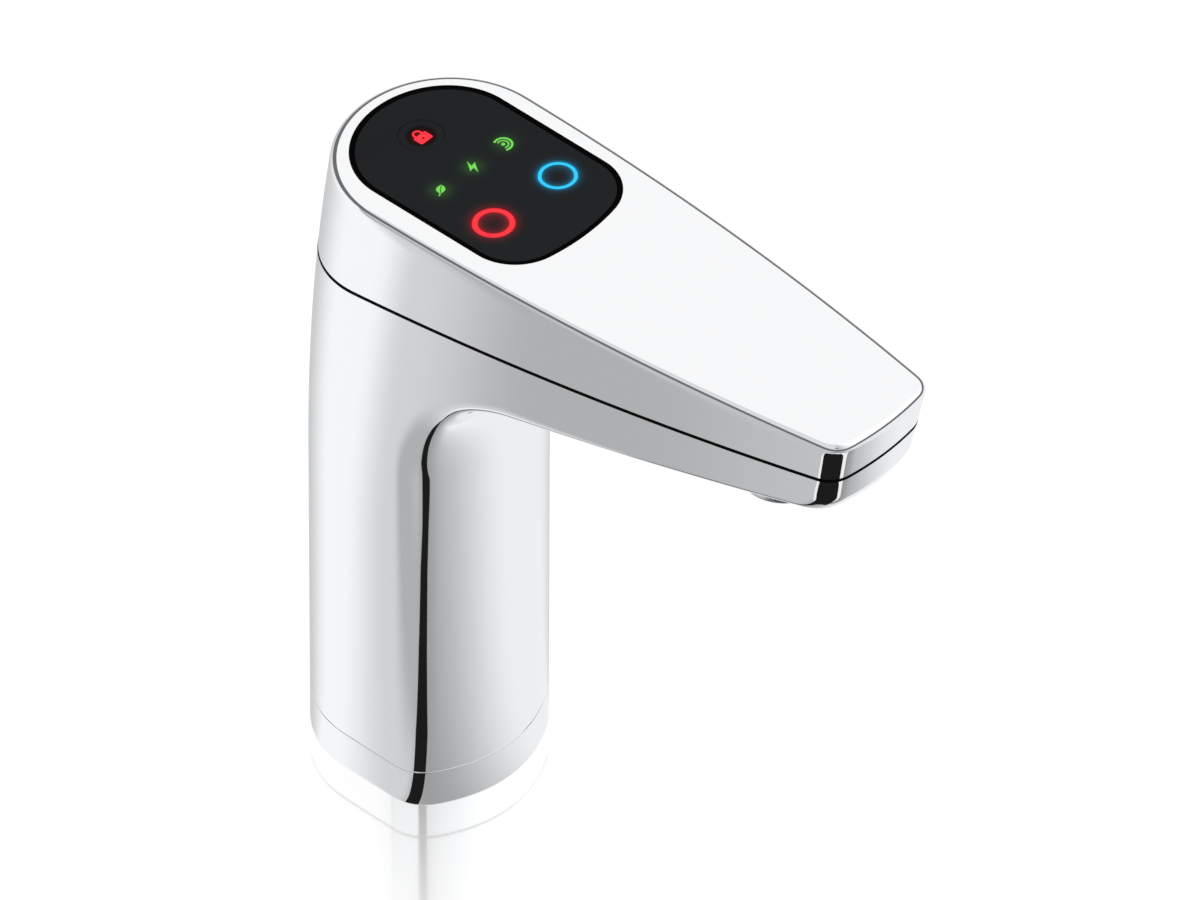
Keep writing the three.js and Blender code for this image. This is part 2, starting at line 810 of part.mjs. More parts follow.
function buildBoard() {
  const shape = panelOutline(boardInset);
  return prism(withHoles(shape, screwPlaces, screwRadius + runningGap), boardLow, boardHigh);
}

// The key's rim, and the bowl inside it. A ring that lights up sits in a groove in the rim.
function keyProfile(lightRing) {
  const high = fasciaHigh;
  const grooveInner = lightRing ? lightRing.radius - lightRing.width / 2 - runningGap : 0;
  const grooveOuter = lightRing ? lightRing.radius + lightRing.width / 2 + runningGap : 0;
  const grooveLow = high - lightRingDepth - runningGap;
  const groove = lightRing ? [[grooveOuter, high], [grooveOuter, grooveLow], [grooveInner, grooveLow]] : [];
  const bowlRadius = lightRing ? grooveInner : keyRadius - keyRimWidth;
  const bowl = steps(3).map((t) => [bowlRadius * (1 - t), high - keyDish * (1 - (1 - t) ** 2)]);
  const stemLow = boardHigh + switchHeight + keyTravel + runningGap;
  return [
    [0, stemLow], [keyStemRadius, stemLow], [keyStemRadius, keyFlangeLow], [keyFlangeRadius, keyFlangeLow],
    [keyFlangeRadius, keyFlangeHigh], [keyRadius, keyFlangeHigh], [keyRadius, high],
    ...groove, ...bowl,
  ];
}

function buildLightRing({ radius, width }) {
  return ring(radius + width / 2, radius - width / 2, fasciaHigh - lightRingDepth, fasciaHigh, keySides);
}

function buildScrew() {
  const headHigh = boardLow - runningGap;
  const headLow = headHigh - screwHeadHeight;
  const tip = boardLow + screwLength;
  return turned([
    [0, headLow], [screwHeadRadius, headLow], [screwHeadRadius, headHigh],
    [screwRadius, headHigh], [screwRadius, tip], [0, tip],
  ], screwSides);
}

piece(panel, 'touch_fascia', buildFascia(), plastic('#222629', 0.25));
piece(panel, 'fascia_seal', buildFasciaSeal(), plastic('#050505', 0.45));
piece(panel, 'led_housing', buildHousing(), blackPlastic());
piece(panel, 'control_board', buildBoard(), plastic('#1f5a34', 0.5));

const lightRings = {
  boiling: { radius: boilingRingRadius, width: boilingRingWidth },
  chilled: { radius: chilledRingRadius, width: chilledRingWidth },
};
for (const [name, place] of Object.entries(keyPlaces)) {
  piece(panel, `${name}_key`, at(turned(keyProfile(lightRings[name]), keySides), ...place),
    plastic('#1c1f21', 0.3));
  piece(panel, `${name}_switch`,
    at(block(switchSide, switchSide, boardHigh + solderGap, boardHigh + switchHeight), ...place),
    plastic('#111111', 0.5));
}
piece(panel, 'boiling_light_ring', at(buildLightRing(lightRings.boiling), ...keyPlaces.boiling),
  glowing('#e2262b'));
piece(panel, 'chilled_light_ring', at(buildLightRing(lightRings.chilled), ...keyPlaces.chilled),
  glowing('#2cc0f0'));

const ledLow = boardHigh + solderGap;
const ledHigh = ledLow + ledHeight;
for (const [name, x] of Object.entries(statusPlaces)) {
  piece(panel, `${name}_light_guide`,
    at(rod(guideRadius, ledHigh + runningGap, fasciaLow - runningGap, smallSides), x, statusReach),
    glowing('#6ec850'));
  piece(panel, `${name}_led`, at(block(ledWidth, ledDepth, ledLow, ledHigh), x, statusReach),
    plastic('#e8e8e0', 0.4));
}
screwPlaces.forEach(([x, reach], i) => {
  piece(panel, `board_screw_${i + 1}`, at(buildScrew(), x, reach), steel());
});

const underBoard = boardLow - solderGap;
const socketWidth = 10;
const socketDepth = 6;
const socketHeight = 5;
const socketReach = 8;
const sounderRadius = 4.5;
const sounderHeight = 3;
const sounderReach = 32;
const chipSide = 7;
const chipHeight = 1;
const chipReach = 20;
const chipOffset = -13;
piece(panel, 'cable_socket', at(block(socketWidth, socketDepth, underBoard - socketHeight, underBoard),
  0, socketReach), plastic('#ece9df', 0.5));
piece(panel, 'sounder', at(rod(sounderRadius, underBoard - sounderHeight, underBoard), 0, sounderReach),
  blackPlastic());
piece(panel, 'control_chip', at(block(chipSide, chipSide, underBoard - chipHeight, underBoard),
  chipOffset, chipReach), plastic('#17181a', 0.4));

// ---------------------------------------------------------------- water way

const tubeSpacing = 4.7;
const tubeTail = 10;
const elbowDrop = 7;
const elbowReach = 64;
const elbowRise = 5;
const portSpacing = 6;
const portLead = 9;
const portSeat = 0.5;
const manifoldWidth = 22;
const manifoldDepth = 24;
const manifoldHeight = 9;
const manifoldLow = nozzleHigh + runningGap;
const manifoldTop = manifoldLow + manifoldHeight;
const manifoldBack = outletReach - manifoldDepth / 2;
const portHeight = manifoldLow + manifoldHeight / 2 + runningGap;
const manifoldWall = 2;
const waterRadius = tubeRadius - 1;
const outletEdgeRadius = 1.4;
const cellRadius = 1.15;
const cellSpacing = 2.9;
const cellSetback = 1.2;
const cellLength = 6.8;
const tubeSteps = 36;
const sealInset = 0.3;
const sealClearance = 0.02;
const cableReach = -6.5;
const guideThickness = 3;
const guideLow = bendStartHeight - elbowDrop - 3 * guideThickness;
const guideHigh = guideLow + guideThickness;
const ribReach = 75;
const ribThickness = 4;

// A tube runs straight up the column, bends forward and runs level into the manifold.
function tubeRoute(side) {
  const elbowLow = bendStartHeight - elbowDrop;
  const elbowHigh = portHeight - elbowRise;
  const rise = elbowHigh - elbowLow;
  const elbow = new THREE.CubicBezierCurve3(
    point(side * tubeSpacing, 0, elbowLow),
    point(side * tubeSpacing, 0, elbowLow + rise / 2),
    point(side * portSpacing, elbowReach / 3, elbowHigh - elbowRise),
    point(side * portSpacing, elbowReach, elbowHigh),
  );
  const tail = -shankLength - tubeTail;
  const straight = steps(4).map((t) => point(side * tubeSpacing, 0, lerp(tail, elbowLow, t)));
  const end = manifoldBack - runningGap;
  const level = [end - portLead, end].map((reach) => point(side * portSpacing, reach, portHeight));
  return [...straight, ...elbow.getPoints(6).slice(1), ...level];
}

// The cable drops from its socket to the back of the column and runs straight down.
function cableRoute() {
  const socketLow = topAt(socketReach) + underBoard - socketHeight - fitGap;
  const low = bendStartHeight - elbowDrop;
  const middle = (socketLow + low) / 2;
  const bend = new THREE.CubicBezierCurve3(
    point(0, socketReach, socketLow), point(0, socketReach, middle),
    point(0, cableReach, middle), point(0, cableReach, low),
  );
  const end = -shankLength - tubeTail / 2;
  const straight = steps(3).slice(1).map((t) => point(0, cableReach, lerp(low, end, t)));
  return [...bend.getPoints(6), ...straight];
}

function buildRib() {
  const slice = at(block(beyond, ribThickness, 0, beyond), 0, ribReach);
  const rib = common(slice, cavity(shellWall + fitGap));
  const holes = [-1, 1].map((side) => tube(tubeRoute(side), tubeRadius + 2 * fitGap, 60, 12));
  return cut(rib, ...holes);
}

function buildGuide() {
  const disc = loft([
    columnLoop(guideLow, shellWall + fitGap),
    columnLoop(guideHigh, shellWall + fitGap),
  ]);
  const tubes = [-1, 1].map(
    (side) => at(rod(tubeRadius + fitGap, -beyond, beyond), side * tubeSpacing, 0),
  );
  return cut(disc, ...tubes, at(rod(cableRadius + fitGap, -beyond, beyond), 0, cableReach));
}

function buildNozzle() {
  const edge = outletEdgeRadius;
  const round = steps(4).map((t) => [
    outletRadius - edge + edge * Math.sin(t * Math.PI / 2),
    nozzleLow + edge - edge * Math.cos(t * Math.PI / 2),
  ]);
  return at(turned([
    [outletBore, nozzleLow], ...round, [outletRadius, nozzleHigh],
    [outletBore, nozzleHigh], [outletBore, nozzleLow],
  ], outletSides), 0, outletReach);
}

function buildStraightener() {
  const cells = [[0, 0]];
  for (const row of [1, 2]) {
    for (const t of steps(6 * row).slice(1)) {
      const angle = 2 * Math.PI * t;
      cells.push([row * cellSpacing * Math.cos(angle), row * cellSpacing * Math.sin(angle)]);
    }
  }
  const rim = new THREE.Shape().absarc(0, 0, outletBore - runningGap, 0, 2 * Math.PI);
  const face = withHoles(new THREE.Shape(rim.getPoints(14)), cells, cellRadius);
  const low = nozzleLow + cellSetback;
  return at(prism(face, low, low + cellLength, 3), 0, outletReach);
}

function buildManifold() {
  const body = at(block(manifoldWidth, manifoldDepth, manifoldLow, manifoldTop), 0, outletReach);
  const ways = [-1, 1].map((side) => rod(waterRadius, -portSeat, manifoldDepth - manifoldWall)
    .rotateX(Math.PI / 2).translate(side * portSpacing, -manifoldBack, portHeight));
  const down = at(rod(outletBore - 1, -beyond, manifoldTop - manifoldWall), 0, outletReach);
  return cut(body, ...ways, down);
}

piece(spout, 'boiling_tube', tube(tubeRoute(-1), tubeRadius, tubeSteps), tubePlastic());
piece(spout, 'chilled_tube', tube(tubeRoute(1), tubeRadius, tubeSteps), tubePlastic());
piece(spout, 'control_cable', tube(cableRoute(), cableRadius, tubeSteps, 6), rubber());
piece(spout, 'tube_guide', buildGuide(), blackPlastic());
piece(spout, 'arm_rib', buildRib(), blackPlastic());
piece(spout, 'outlet_manifold', buildManifold(), blackPlastic());
piece(spout, 'outlet_nozzle', buildNozzle(), chrome());
piece(spout, 'flow_straightener', buildStraightener(), plastic('#e6e6e2', 0.5));
piece(spout, 'nozzle_seal', at(ring(outletRadius - sealInset, outletBore + sealInset,
  nozzleHigh + sealClearance, manifoldLow - sealClearance), 0, outletReach), rubber());

export default tap;
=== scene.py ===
"""Boiling water tap: its visible pieces, finishes and studio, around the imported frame."""

import json
import math
from collections import namedtuple

import bmesh
import bpy
import numpy as np
from bpy.props import FloatProperty, FloatVectorProperty, PointerProperty
from mathutils import Matrix, Vector
from mathutils.geometry import tessellate_polygon


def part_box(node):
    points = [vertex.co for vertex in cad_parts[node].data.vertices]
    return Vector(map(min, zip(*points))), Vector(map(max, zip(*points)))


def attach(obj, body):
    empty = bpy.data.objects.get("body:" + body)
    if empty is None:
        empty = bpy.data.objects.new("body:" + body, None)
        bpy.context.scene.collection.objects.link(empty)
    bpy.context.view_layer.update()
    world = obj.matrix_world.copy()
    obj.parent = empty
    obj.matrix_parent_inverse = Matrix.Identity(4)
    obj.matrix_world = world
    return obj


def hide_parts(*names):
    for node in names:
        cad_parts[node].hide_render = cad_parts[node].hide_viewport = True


bl_info = {
    "name": "Boiling water tap",
    "version": (1, 0, 0),
    "blender": (4, 5, 0),
    "location": "View3D > Sidebar > Tap",
    "description": "Builds the visible pieces of a boiling water tap around its packed frame",
    "category": "Object",
}

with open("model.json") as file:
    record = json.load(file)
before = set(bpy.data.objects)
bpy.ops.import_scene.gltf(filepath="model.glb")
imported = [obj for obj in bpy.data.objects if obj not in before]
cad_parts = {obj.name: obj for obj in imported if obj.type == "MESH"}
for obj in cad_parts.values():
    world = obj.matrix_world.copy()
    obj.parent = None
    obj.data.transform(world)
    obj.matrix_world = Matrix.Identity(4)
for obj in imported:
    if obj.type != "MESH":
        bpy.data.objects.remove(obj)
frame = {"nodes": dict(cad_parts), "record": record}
NODES = frame["nodes"]
MM = 0.001


# ---------------------------------------------------------------- sizes and colours


def length(label, description, millimetres):
    """A size of the tap, stored in metres."""
    return FloatProperty(name=label, description=description, default=millimetres * MM,
                         unit="LENGTH", precision=5)


def angle(label, description, degrees):
    """An angle of the tap, stored in radians."""
    return FloatProperty(name=label, description=description, default=math.radians(degrees),
                         subtype="ANGLE")


def colour(label, description, value):
    """A colour of the tap, as linear red, green and blue."""
    return FloatVectorProperty(name=label, description=description, default=value,
                               subtype="COLOR", min=0.0, max=1.0)


class TapBodySizes(bpy.types.PropertyGroup):
    """Sizes of the column, the arm and the nose. Reach is forward of the swivel's axis."""
    base_height: length("Base ring height", "Height of the fixed ring on the deck", 11.3)
    base_chamfer: length("Base ring chamfer", "Chamfer at the top of the base ring", 0.25)
    foot_height: length("Body foot", "Height of the turning body's lower edge", 11.5)
    half_width: length("Column half width", "Half the column's width", 26)
    back_reach: length("Column back", "Reach of the column's back", -29.4)
    front_reach: length("Column front corner", "Reach of the front corners at the deck", 19.6)
    front_lean: length("Column front lean", "Further reach of those corners at the bend", 0.6)
    front_bulge: length("Column front bulge", "Height of the bow across the column's front", 10.2)
    corner_radius: length("Column corner radius", "Radius of the column's front corners", 6)
    bend_start: length("Bend start", "Height at which the column bends into the arm", 112.6)
    bend_radius: length("Bend radius", "Radius of the bend under the arm", 42.6)
    underside_rise: angle("Underside rise", "Rise of the arm's underside", 14.5)
    arm_belly: length("Arm belly", "Height of the bow across the arm's underside", 2.4)
    arm_edge_radius: length("Arm edge radius", "Radius of the arm's lower edges", 4.5)
    nose_reach: length("Nose reach", "Reach of the foot of the nose", 150.74)
    nose_foot_radius: length("Nose foot radius", "Radius between underside and nose", 9)
    nose_lean: angle("Nose lean", "Forward lean of the nose", 11)
    nose_bulge: length("Nose bulge", "Height of the bow across the nose", 1.9)
    nose_corner_radius: length("Nose corner radius", "Radius of the nose's corners", 5)
    flare_start: length("Flare start", "Height at which the walls begin to lean", 92.6)
    side_flare: length("Side flare radius", "Radius of the outward lean of the sides", 1938)
    back_flare: length("Back flare radius", "Radius of the forward lean of the back", 612)
    taper_radius: length("Taper radius", "Radius of the closing sides", 867)
    seam_height: length("Seam height", "Height of the seam on the swivel's axis", 166.2)
    seam_rise: angle("Seam rise", "Rise of the seam towards the nose", 9.4)
    seam_gap: length("Seam thickness", "Thickness of the gasket in the seam", 0.7)
    top_height: length("Top height", "Height of the top face on the swivel's axis", 200)
    top_rise: angle("Top rise", "Rise of the top face towards the nose", 1.8)
    top_edge: length("Top edge radius", "Radius of the edge round the top face", 2.6)
    wall: length("Wall", "Thickness of the metal shells", 2.2)
    outlet_reach: length("Outlet reach", "Reach of the outlet's axis", 122)
    outlet_radius: length("Outlet radius", "Outer radius of the outlet", 11.5)
    outlet_bore: length("Outlet bore", "Inner radius of the outlet", 8.2)
    outlet_drop: length("Outlet drop", "Depth of the outlet's mouth under the arm", 8)


class TapPanelSizes(bpy.types.PropertyGroup):
    """Sizes of the touch panel and its keys. Depths are below the top face."""
    back_reach: length("Panel back", "Reach of the panel's back edge", -15.6)
    back_depth: length("Back curve", "Length of the half ellipse at the back", 21)
    front_reach: length("Panel front", "Reach of the panel's front edge", 55.3)
    half_width: length("Panel half width", "Half the panel's width", 23)
    corner_radius: length("Panel corner radius", "Radius of the front corners", 14)
    front_bulge: length("Panel front bulge", "Height of the bow across the front", 4.5)
    rim_width: length("Rim width", "Width of the black rim", 1.5)
    rim_depth: length("Rim depth", "Depth of the rim below the top face", 0.35)
    rebate_depth: length("Rebate depth", "Depth of the rebate that holds the panel", 1.7)
    face_depth: length("Fascia depth", "Depth of the fascia's face", 0.1)
    back_face: length("Fascia back", "Depth of the fascia's back", 1.6)
    key_radius: length("Key radius", "Radius of a touch key", 5.8)
    key_lip: length("Key lip", "Width of the flange round a key's foot", 0.9)
    key_dish: length("Key dish", "Depth of a key's dish", 0.5)
    boiling_radius: length("Boiling ring radius", "Middle radius of the red light ring", 4.65)
    chilled_radius: length("Chilled ring radius", "Middle radius of the blue light ring", 4.5)
    ring_depth: length("Ring depth", "Depth of a light ring", 0.9)
    boiling_ring: length("Boiling ring width", "Width of the red light ring", 1.4)
    chilled_ring: length("Chilled ring width", "Width of the blue light ring", 0.9)
    spacing: length("Key spacing", "Distance of the side keys from the middle", 11.6)
    lock_reach: length("Lock reach", "Reach of the lock key", -0.2)
    status_reach: length("Status reach", "Reach of the three status symbols", 17.2)
    key_reach: length("Key reach", "Reach of the two water keys", 35.1)


class TapColours(bpy.types.PropertyGroup):
    """Colours of the finishes."""
    chrome: colour("Chrome", "Polished chrome", (0.93, 0.935, 0.945))
    charcoal: colour("Charcoal", "Touch fascia", (0.0105, 0.0115, 0.0132))
    # Rim black is also the painted shade in the lock key's dish
    rim: colour("Rim", "Black rim round the fascia", (0.0012, 0.0012, 0.0013))
    boiling: colour("Boiling red", "Light of the boiling key and the lock", (0.86, 0.022, 0.034))
    chilled: colour("Chilled blue", "Light of the chilled key", (0.018, 0.50, 0.88))
    status: colour("Status green", "Light of the status symbols", (0.14, 0.58, 0.075))
    rubber: colour("Rubber", "Gaskets, washer and cable", (0.012, 0.012, 0.012))
    black_plastic: colour("Black plastic", "Moulded black plastic", (0.022, 0.022, 0.024))
    acetal: colour("Acetal", "Bearing bushes", (0.80, 0.78, 0.70))
    brass: colour("Brass", "Shank and nut", (0.72, 0.52, 0.24))
    steel: colour("Steel", "Clip, washer and screws", (0.56, 0.57, 0.58))
    board: colour("Circuit board", "Solder mask", (0.012, 0.095, 0.035))
    tube: colour("Tube", "Water tubes", (0.72, 0.74, 0.75))
    pale: colour("Pale plastic", "Socket and flow straightener", (0.78, 0.77, 0.72))


# ---------------------------------------------------------------- outer form


def steps(count):
    """Even fractions from 0 to 1."""
    return np.linspace(0.0, 1.0, count + 1)


def mix(low, high, t):
    return low + (high - low) * t


def seam_at(s, reach):
    return s.seam_height + math.tan(s.seam_rise) * reach


def top_at(s, reach):
    return s.top_height + math.tan(s.top_rise) * reach


def wall_at(s, z, inset=0.0):
    """Radius, centre and apex of the half circle that ends the side walls at the back."""
    flare = np.maximum(0.0, z - s.flare_start) ** 2 / 2
    width = s.half_width + flare / s.side_flare
    apex = s.back_reach + flare / s.back_flare
    return width - inset, apex + width, apex + inset


def half_width_at(s, reach, z, inset=0.0):
    radius, centre, _ = wall_at(s, z, inset)
    back = np.sqrt(np.maximum(0.0, radius ** 2 - (reach - centre) ** 2))
    side = radius - (reach - centre) ** 2 / (2 * s.taper_radius)
    return np.where(reach < centre, back, side)


# A place on the tap's lower edge, and the direction that the surface faces there
Station = namedtuple("Station", "reach z facing bulge radius part")

COLUMN_ROWS, BEND_ROWS, ARM_ROWS, FOOT_ROWS, NOSE_ROWS = 24, 48, 30, 12, 6
BEND_LEAD = 8 * MM
# Steps over the front, round the corner and along the side, and points the side is spaced from
SECTION_NET, PLAN_NET = (18, 14, 56, 600), (16, 14, 120, 900)
LEFT_SIDE = np.array([-1.0, 1.0, 1.0])


def edge_stations(s):
    """Up the column's front, round the bend, out along the arm and up the nose to the seam."""
    stations = []
    for t in steps(COLUMN_ROWS):
        z = mix(s.foot_height, s.bend_start, t)
        stations.append(Station(s.front_reach + s.front_lean * z / s.bend_start, z, 0.0,
                                s.front_bulge, s.corner_radius, "column"))
    turn = math.pi / 2 - s.underside_rise
    bend_front = s.front_reach + s.front_lean
    for t in steps(BEND_ROWS)[1:]:
        a = turn * t
        ease = t * t * (3 - 2 * t)
        stations.append(Station(bend_front + s.bend_radius * (1 - math.cos(a)),
                                s.bend_start + s.bend_radius * math.sin(a), a,
                                mix(s.front_bulge, s.arm_belly, ease),
                                mix(s.corner_radius, s.arm_edge_radius, t), "bend"))
    last = stations[-1]
    foot_z = last.z + (s.nose_reach - last.reach) * math.tan(s.underside_rise)
    setback = s.nose_foot_radius * math.tan((turn - s.nose_lean) / 2)
    start_reach = s.nose_reach - setback * math.cos(s.underside_rise)
    start_z = foot_z - setback * math.sin(s.underside_rise)
    for t in steps(ARM_ROWS)[1:]:
        stations.append(Station(mix(last.reach, start_reach, t), mix(last.z, start_z, t), turn,
                                s.arm_belly, s.arm_edge_radius, "arm"))
    centre_reach = start_reach - s.nose_foot_radius * math.cos(turn)
    centre_z = start_z + s.nose_foot_radius * math.sin(turn)
    for t in steps(FOOT_ROWS)[1:]:
        a = mix(turn, s.nose_lean, t)
        stations.append(Station(centre_reach + s.nose_foot_radius * math.cos(a),
                                centre_z - s.nose_foot_radius * math.sin(a), a,
                                mix(s.arm_belly, s.nose_bulge, t),
                                mix(s.arm_edge_radius, s.nose_corner_radius, t), "nose"))
    foot = stations[-1]
    lean, slope = math.tan(s.nose_lean), math.tan(s.seam_rise)
    top_reach = (s.nose_reach + lean * (s.seam_height - foot_z)) / (1 - lean * slope)
    for t in steps(NOSE_ROWS)[1:]:
        stations.append(Station(mix(foot.reach, top_reach, t),
                                mix(foot.z, seam_at(s, top_reach), t), s.nose_lean,
                                s.nose_bulge, s.nose_corner_radius, "nose"))
    return stations


def wall_ends(s, stations):
    """Far end of each station's line over the side wall: up the back, then along the seam."""
    reach = s.back_reach
    for _ in range(20):
        reach = float(wall_at(s, seam_at(s, reach))[2])
    seam_back = seam_at(s, reach)
    risers = round(BEND_ROWS / 3)
    arm_back = [q for q in stations if q.part == "bend"][-1].reach - BEND_LEAD
    nose_back = stations[-1].reach - stations[-1].radius - BEND_LEAD
    ends = []
    for i, station in enumerate(stations):
        k = i - COLUMN_ROWS
        if k <= risers:
            z = station.z if k <= 0 else mix(s.bend_start, seam_back, k / risers)
            ends.append((float(wall_at(s, z)[2]), z, True))
            continue
        if k <= BEND_ROWS:
            r = mix(reach, arm_back, ((k - risers) / (BEND_ROWS - risers)) ** 2)
        else:
            r = mix(arm_back, nose_back, (k - BEND_ROWS) / (ARM_ROWS + FOOT_ROWS + NOSE_ROWS))
        ends.append((r, seam_at(s, r), False))
    return ends


def resample(points, count):
    """Points at even distances along a polyline."""
    gaps = np.linalg.norm(np.diff(points, axis=0), axis=1)
    along = np.concatenate([[0.0], np.cumsum(gaps)])
    wanted = steps(count) * along[-1]
    return np.stack([np.interp(wanted, along, points[:, k]) for k in range(3)], axis=1)


def bezier(a, b, c, count):
    t = steps(count)[:, None]
    return (1 - t) ** 2 * a + 2 * t * (1 - t) * b + t ** 2 * c


def point(x, reach, z):
    return np.stack(np.broadcast_arrays(x, -reach, z), axis=-1).astype(float)


def half_loop(on_front, flat, tip, on_side, start, end, net):
    """Over the front as far as x = flat, round the corner and along the side to its end."""
    front_steps, corner_steps, side_steps, fine_steps = net
    front = on_front(flat * steps(front_steps)[:-1])
    turn = bezier(on_front(flat), tip, on_side(start), corner_steps)
    fine = on_side(mix(start, end, np.sin(steps(fine_steps) * math.pi / 2)))
    return np.concatenate([front, turn[:-1], resample(fine, side_steps)])


def section(s, station, end, inset=0.0):
    """Half a section: from the middle of the front, round the corner and over the side wall."""
    away = (math.cos(station.facing), -math.sin(station.facing))
    reach0, z0 = station.reach - inset * away[0], station.z - inset * away[1]
    across = np.array([end[0] - reach0, end[1] - z0])
    span = float(np.hypot(*across))
    across /= span
    width = float(half_width_at(s, reach0, z0, inset))
    radius = max(station.radius - inset, 1 * MM)

    def on_front(x):
        out = station.bulge * (1 - (x / width) ** 2)
        return point(x, reach0 + away[0] * out, z0 + away[1] * out)

    def on_wall(distance):
        reach, z = reach0 + across[0] * distance, z0 + across[1] * distance
        return point(half_width_at(s, reach, z, inset), reach, z)

    lift = station.bulge * (radius / width) ** 2
    tip = point(width, reach0 + away[0] * lift, z0 + away[1] * lift)
    half = half_loop(on_front, width - radius, tip, on_wall, radius, span, SECTION_NET)
    if end[2]:
        half[-1, 0] = 0.0
    return half


def underside_at(s, reach):
    """Height of the arm's underside at its edges."""
    turn = math.pi / 2 - s.underside_rise
    bend_reach = s.front_reach + s.front_lean + s.bend_radius * (1 - math.cos(turn))
    bend_z = s.bend_start + s.bend_radius * math.sin(turn)
    return bend_z + (reach - bend_reach) * math.tan(s.underside_rise)


def nose_at(s, z):
    """Reach of the nose's corners at one height."""
    return s.nose_reach + (z - underside_at(s, s.nose_reach)) * math.tan(s.nose_lean)


def plan_loop(s, height_at, inset):
    """A loop round the tap on the surface z = height_at(reach), drawn in by inset."""
    corner, apex = s.nose_reach, s.back_reach
    for _ in range(20):
        corner = float(nose_at(s, height_at(corner))) - inset
        apex = float(wall_at(s, height_at(apex), inset)[2])
    width = float(half_width_at(s, corner, height_at(corner), inset))
    radius = max(s.nose_corner_radius - inset, 1 * MM)

    def on_front(x):
        reach = corner + s.nose_bulge * (1 - (x / width) ** 2)
        return point(x, reach, height_at(reach))

    def on_side(reach):
        z = height_at(reach)
        return point(half_width_at(s, reach, z, inset), reach, z)

    tip_reach = corner + s.nose_bulge * (radius / width) ** 2
    tip = point(width, tip_reach, height_at(tip_reach))
    half = half_loop(on_front, width - radius, tip, on_side, corner - radius, apex, PLAN_NET)
    half[-1, 0] = 0.0
    return closed(half)


def closed(half):
    """A whole loop from its right half, which starts and ends in the middle."""
    return np.concatenate([half, half[1:-1][::-1] * LEFT_SIDE])


def column_loop(s, z, inset):
    """A closed loop round the column at one height."""
    corner = s.front_reach + s.front_lean * z / s.bend_start
    front = Station(corner, z, 0.0, s.front_bulge, s.corner_radius, "column")
    back = (float(wall_at(s, z, inset)[2]), z, True)
    return closed(section(s, front, back, inset))


def panel_outline(p, inset, detail=48):
    """The panel's outline: a half ellipse at the back, a bowed front between two corners."""
    bow = (p.half_width ** 2 + p.front_bulge ** 2) / (2 * p.front_bulge)
    back_y = -(p.back_reach + p.back_depth)
    bow_y = -(p.front_reach - bow)
    side = p.half_width - p.corner_radius
    corner_y = bow_y - math.sqrt((bow - p.corner_radius) ** 2 - side ** 2)
    lean = math.atan2(bow_y - corner_y, side)

    half, radius = p.half_width - inset, p.corner_radius - inset
    left, right = math.pi + lean, 2 * math.pi - lean
    return arc(0, back_y, half, 0, math.pi, 2 * detail, p.back_depth - inset) \
        + arc(-side, corner_y, radius, math.pi, left, detail) \
        + arc(0, bow_y, bow - inset, left, right, detail)[1:] \
        + arc(side, corner_y, radius, -lean, 0, detail)[1:]


def arc(x, y, radius, start, stop, count=24, depth=None):
    """Points on an arc of a circle, or of an ellipse with another radius along y."""
    a = mix(start, stop, steps(count))
    return list(zip(x + radius * np.cos(a), y + (depth or radius) * np.sin(a)))


def circle(x, y, radius, count=96):
    return arc(x, y, radius, 0, 2 * math.pi, count)[:-1]


# ---------------------------------------------------------------- meshes


def panel_frame(s):
    """The panel's own frame: z is measured up from the top face."""
    return Matrix.Translation((0, 0, s.top_height)) @ Matrix.Rotation(-s.top_rise, 4, "X")


def grid(rows, wrap):
    """Points and faces of a net of rows of points, each row as long as the others."""
    count, width = len(rows), len(rows[0])
    i = np.arange(count - 1)[:, None] * width
    j = np.arange(width if wrap else width - 1)[None, :]
    k = (j + 1) % width
    faces = np.stack([i + j, i + k, i + width + k, i + width + j], axis=-1).reshape(-1, 4)
    return np.concatenate(rows), faces.tolist()


def rings(a, profile, centre=(0.0, 0.0)):
    """A level row of points at the angles a for each (radius, height) of a profile."""
    return [np.stack([centre[0] + r * np.cos(a), centre[1] + r * np.sin(a),
                      np.full(len(a), z)], axis=1) for r, z in profile]


def piece(name, points, faces, finish, closed_body=False, place=None):
    """A smooth object from points and faces, with shared corners merged."""
    mesh = bpy.data.meshes.new(name)
    mesh.from_pydata([tuple(p) for p in points], [], faces)
    work = bmesh.new()
    work.from_mesh(mesh)
    bmesh.ops.remove_doubles(work, verts=work.verts, dist=2e-6)
    bmesh.ops.dissolve_degenerate(work, edges=work.edges, dist=1e-7)
    if closed_body:
        bmesh.ops.recalc_face_normals(work, faces=work.faces)
    for face in work.faces:
        face.smooth = True
    work.to_mesh(mesh)
    work.free()
    if place is not None:
        mesh.transform(place)
    mesh.materials.append(finish)
    thing = bpy.data.objects.new(name, mesh)
    bpy.context.scene.collection.objects.link(thing)
    return thing


def soften(thing, radius, limit=35.0, segments=3):
    """Rounds the sharp edges of a piece, and keeps its wide faces true."""
    bevel = thing.modifiers.new("Edges", "BEVEL")
    bevel.width = radius
    bevel.segments = segments
    bevel.limit_method = "ANGLE"
    bevel.angle_limit = math.radians(limit)
    bevel.harden_normals = True
    bevel.use_clamp_overlap = True
    return thing


def thicken(thing, wall):
    """Gives a skin its wall, inwards."""
    solid = thing.modifiers.new("Wall", "SOLIDIFY")
    solid.thickness = wall
    solid.offset = -1.0
    return thing


def belongs(thing, body, slot_name, *nodes):
    """The piece rides on a body and stands for CAD nodes."""
    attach(thing, body)
    if nodes:
        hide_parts(*nodes)
    return thing


def turned(name, profile, finish, centre=(0.0, 0.0), segments=96, place=None):
    """A closed body turned about an upright axis from (radius, height) pairs."""
    a = mix(0, 2 * math.pi, steps(segments)[:-1])
    rows = rings(a, profile, centre)
    points, faces = grid(rows + rows[:1], True)
    return piece(name, points, faces, finish, True, place)


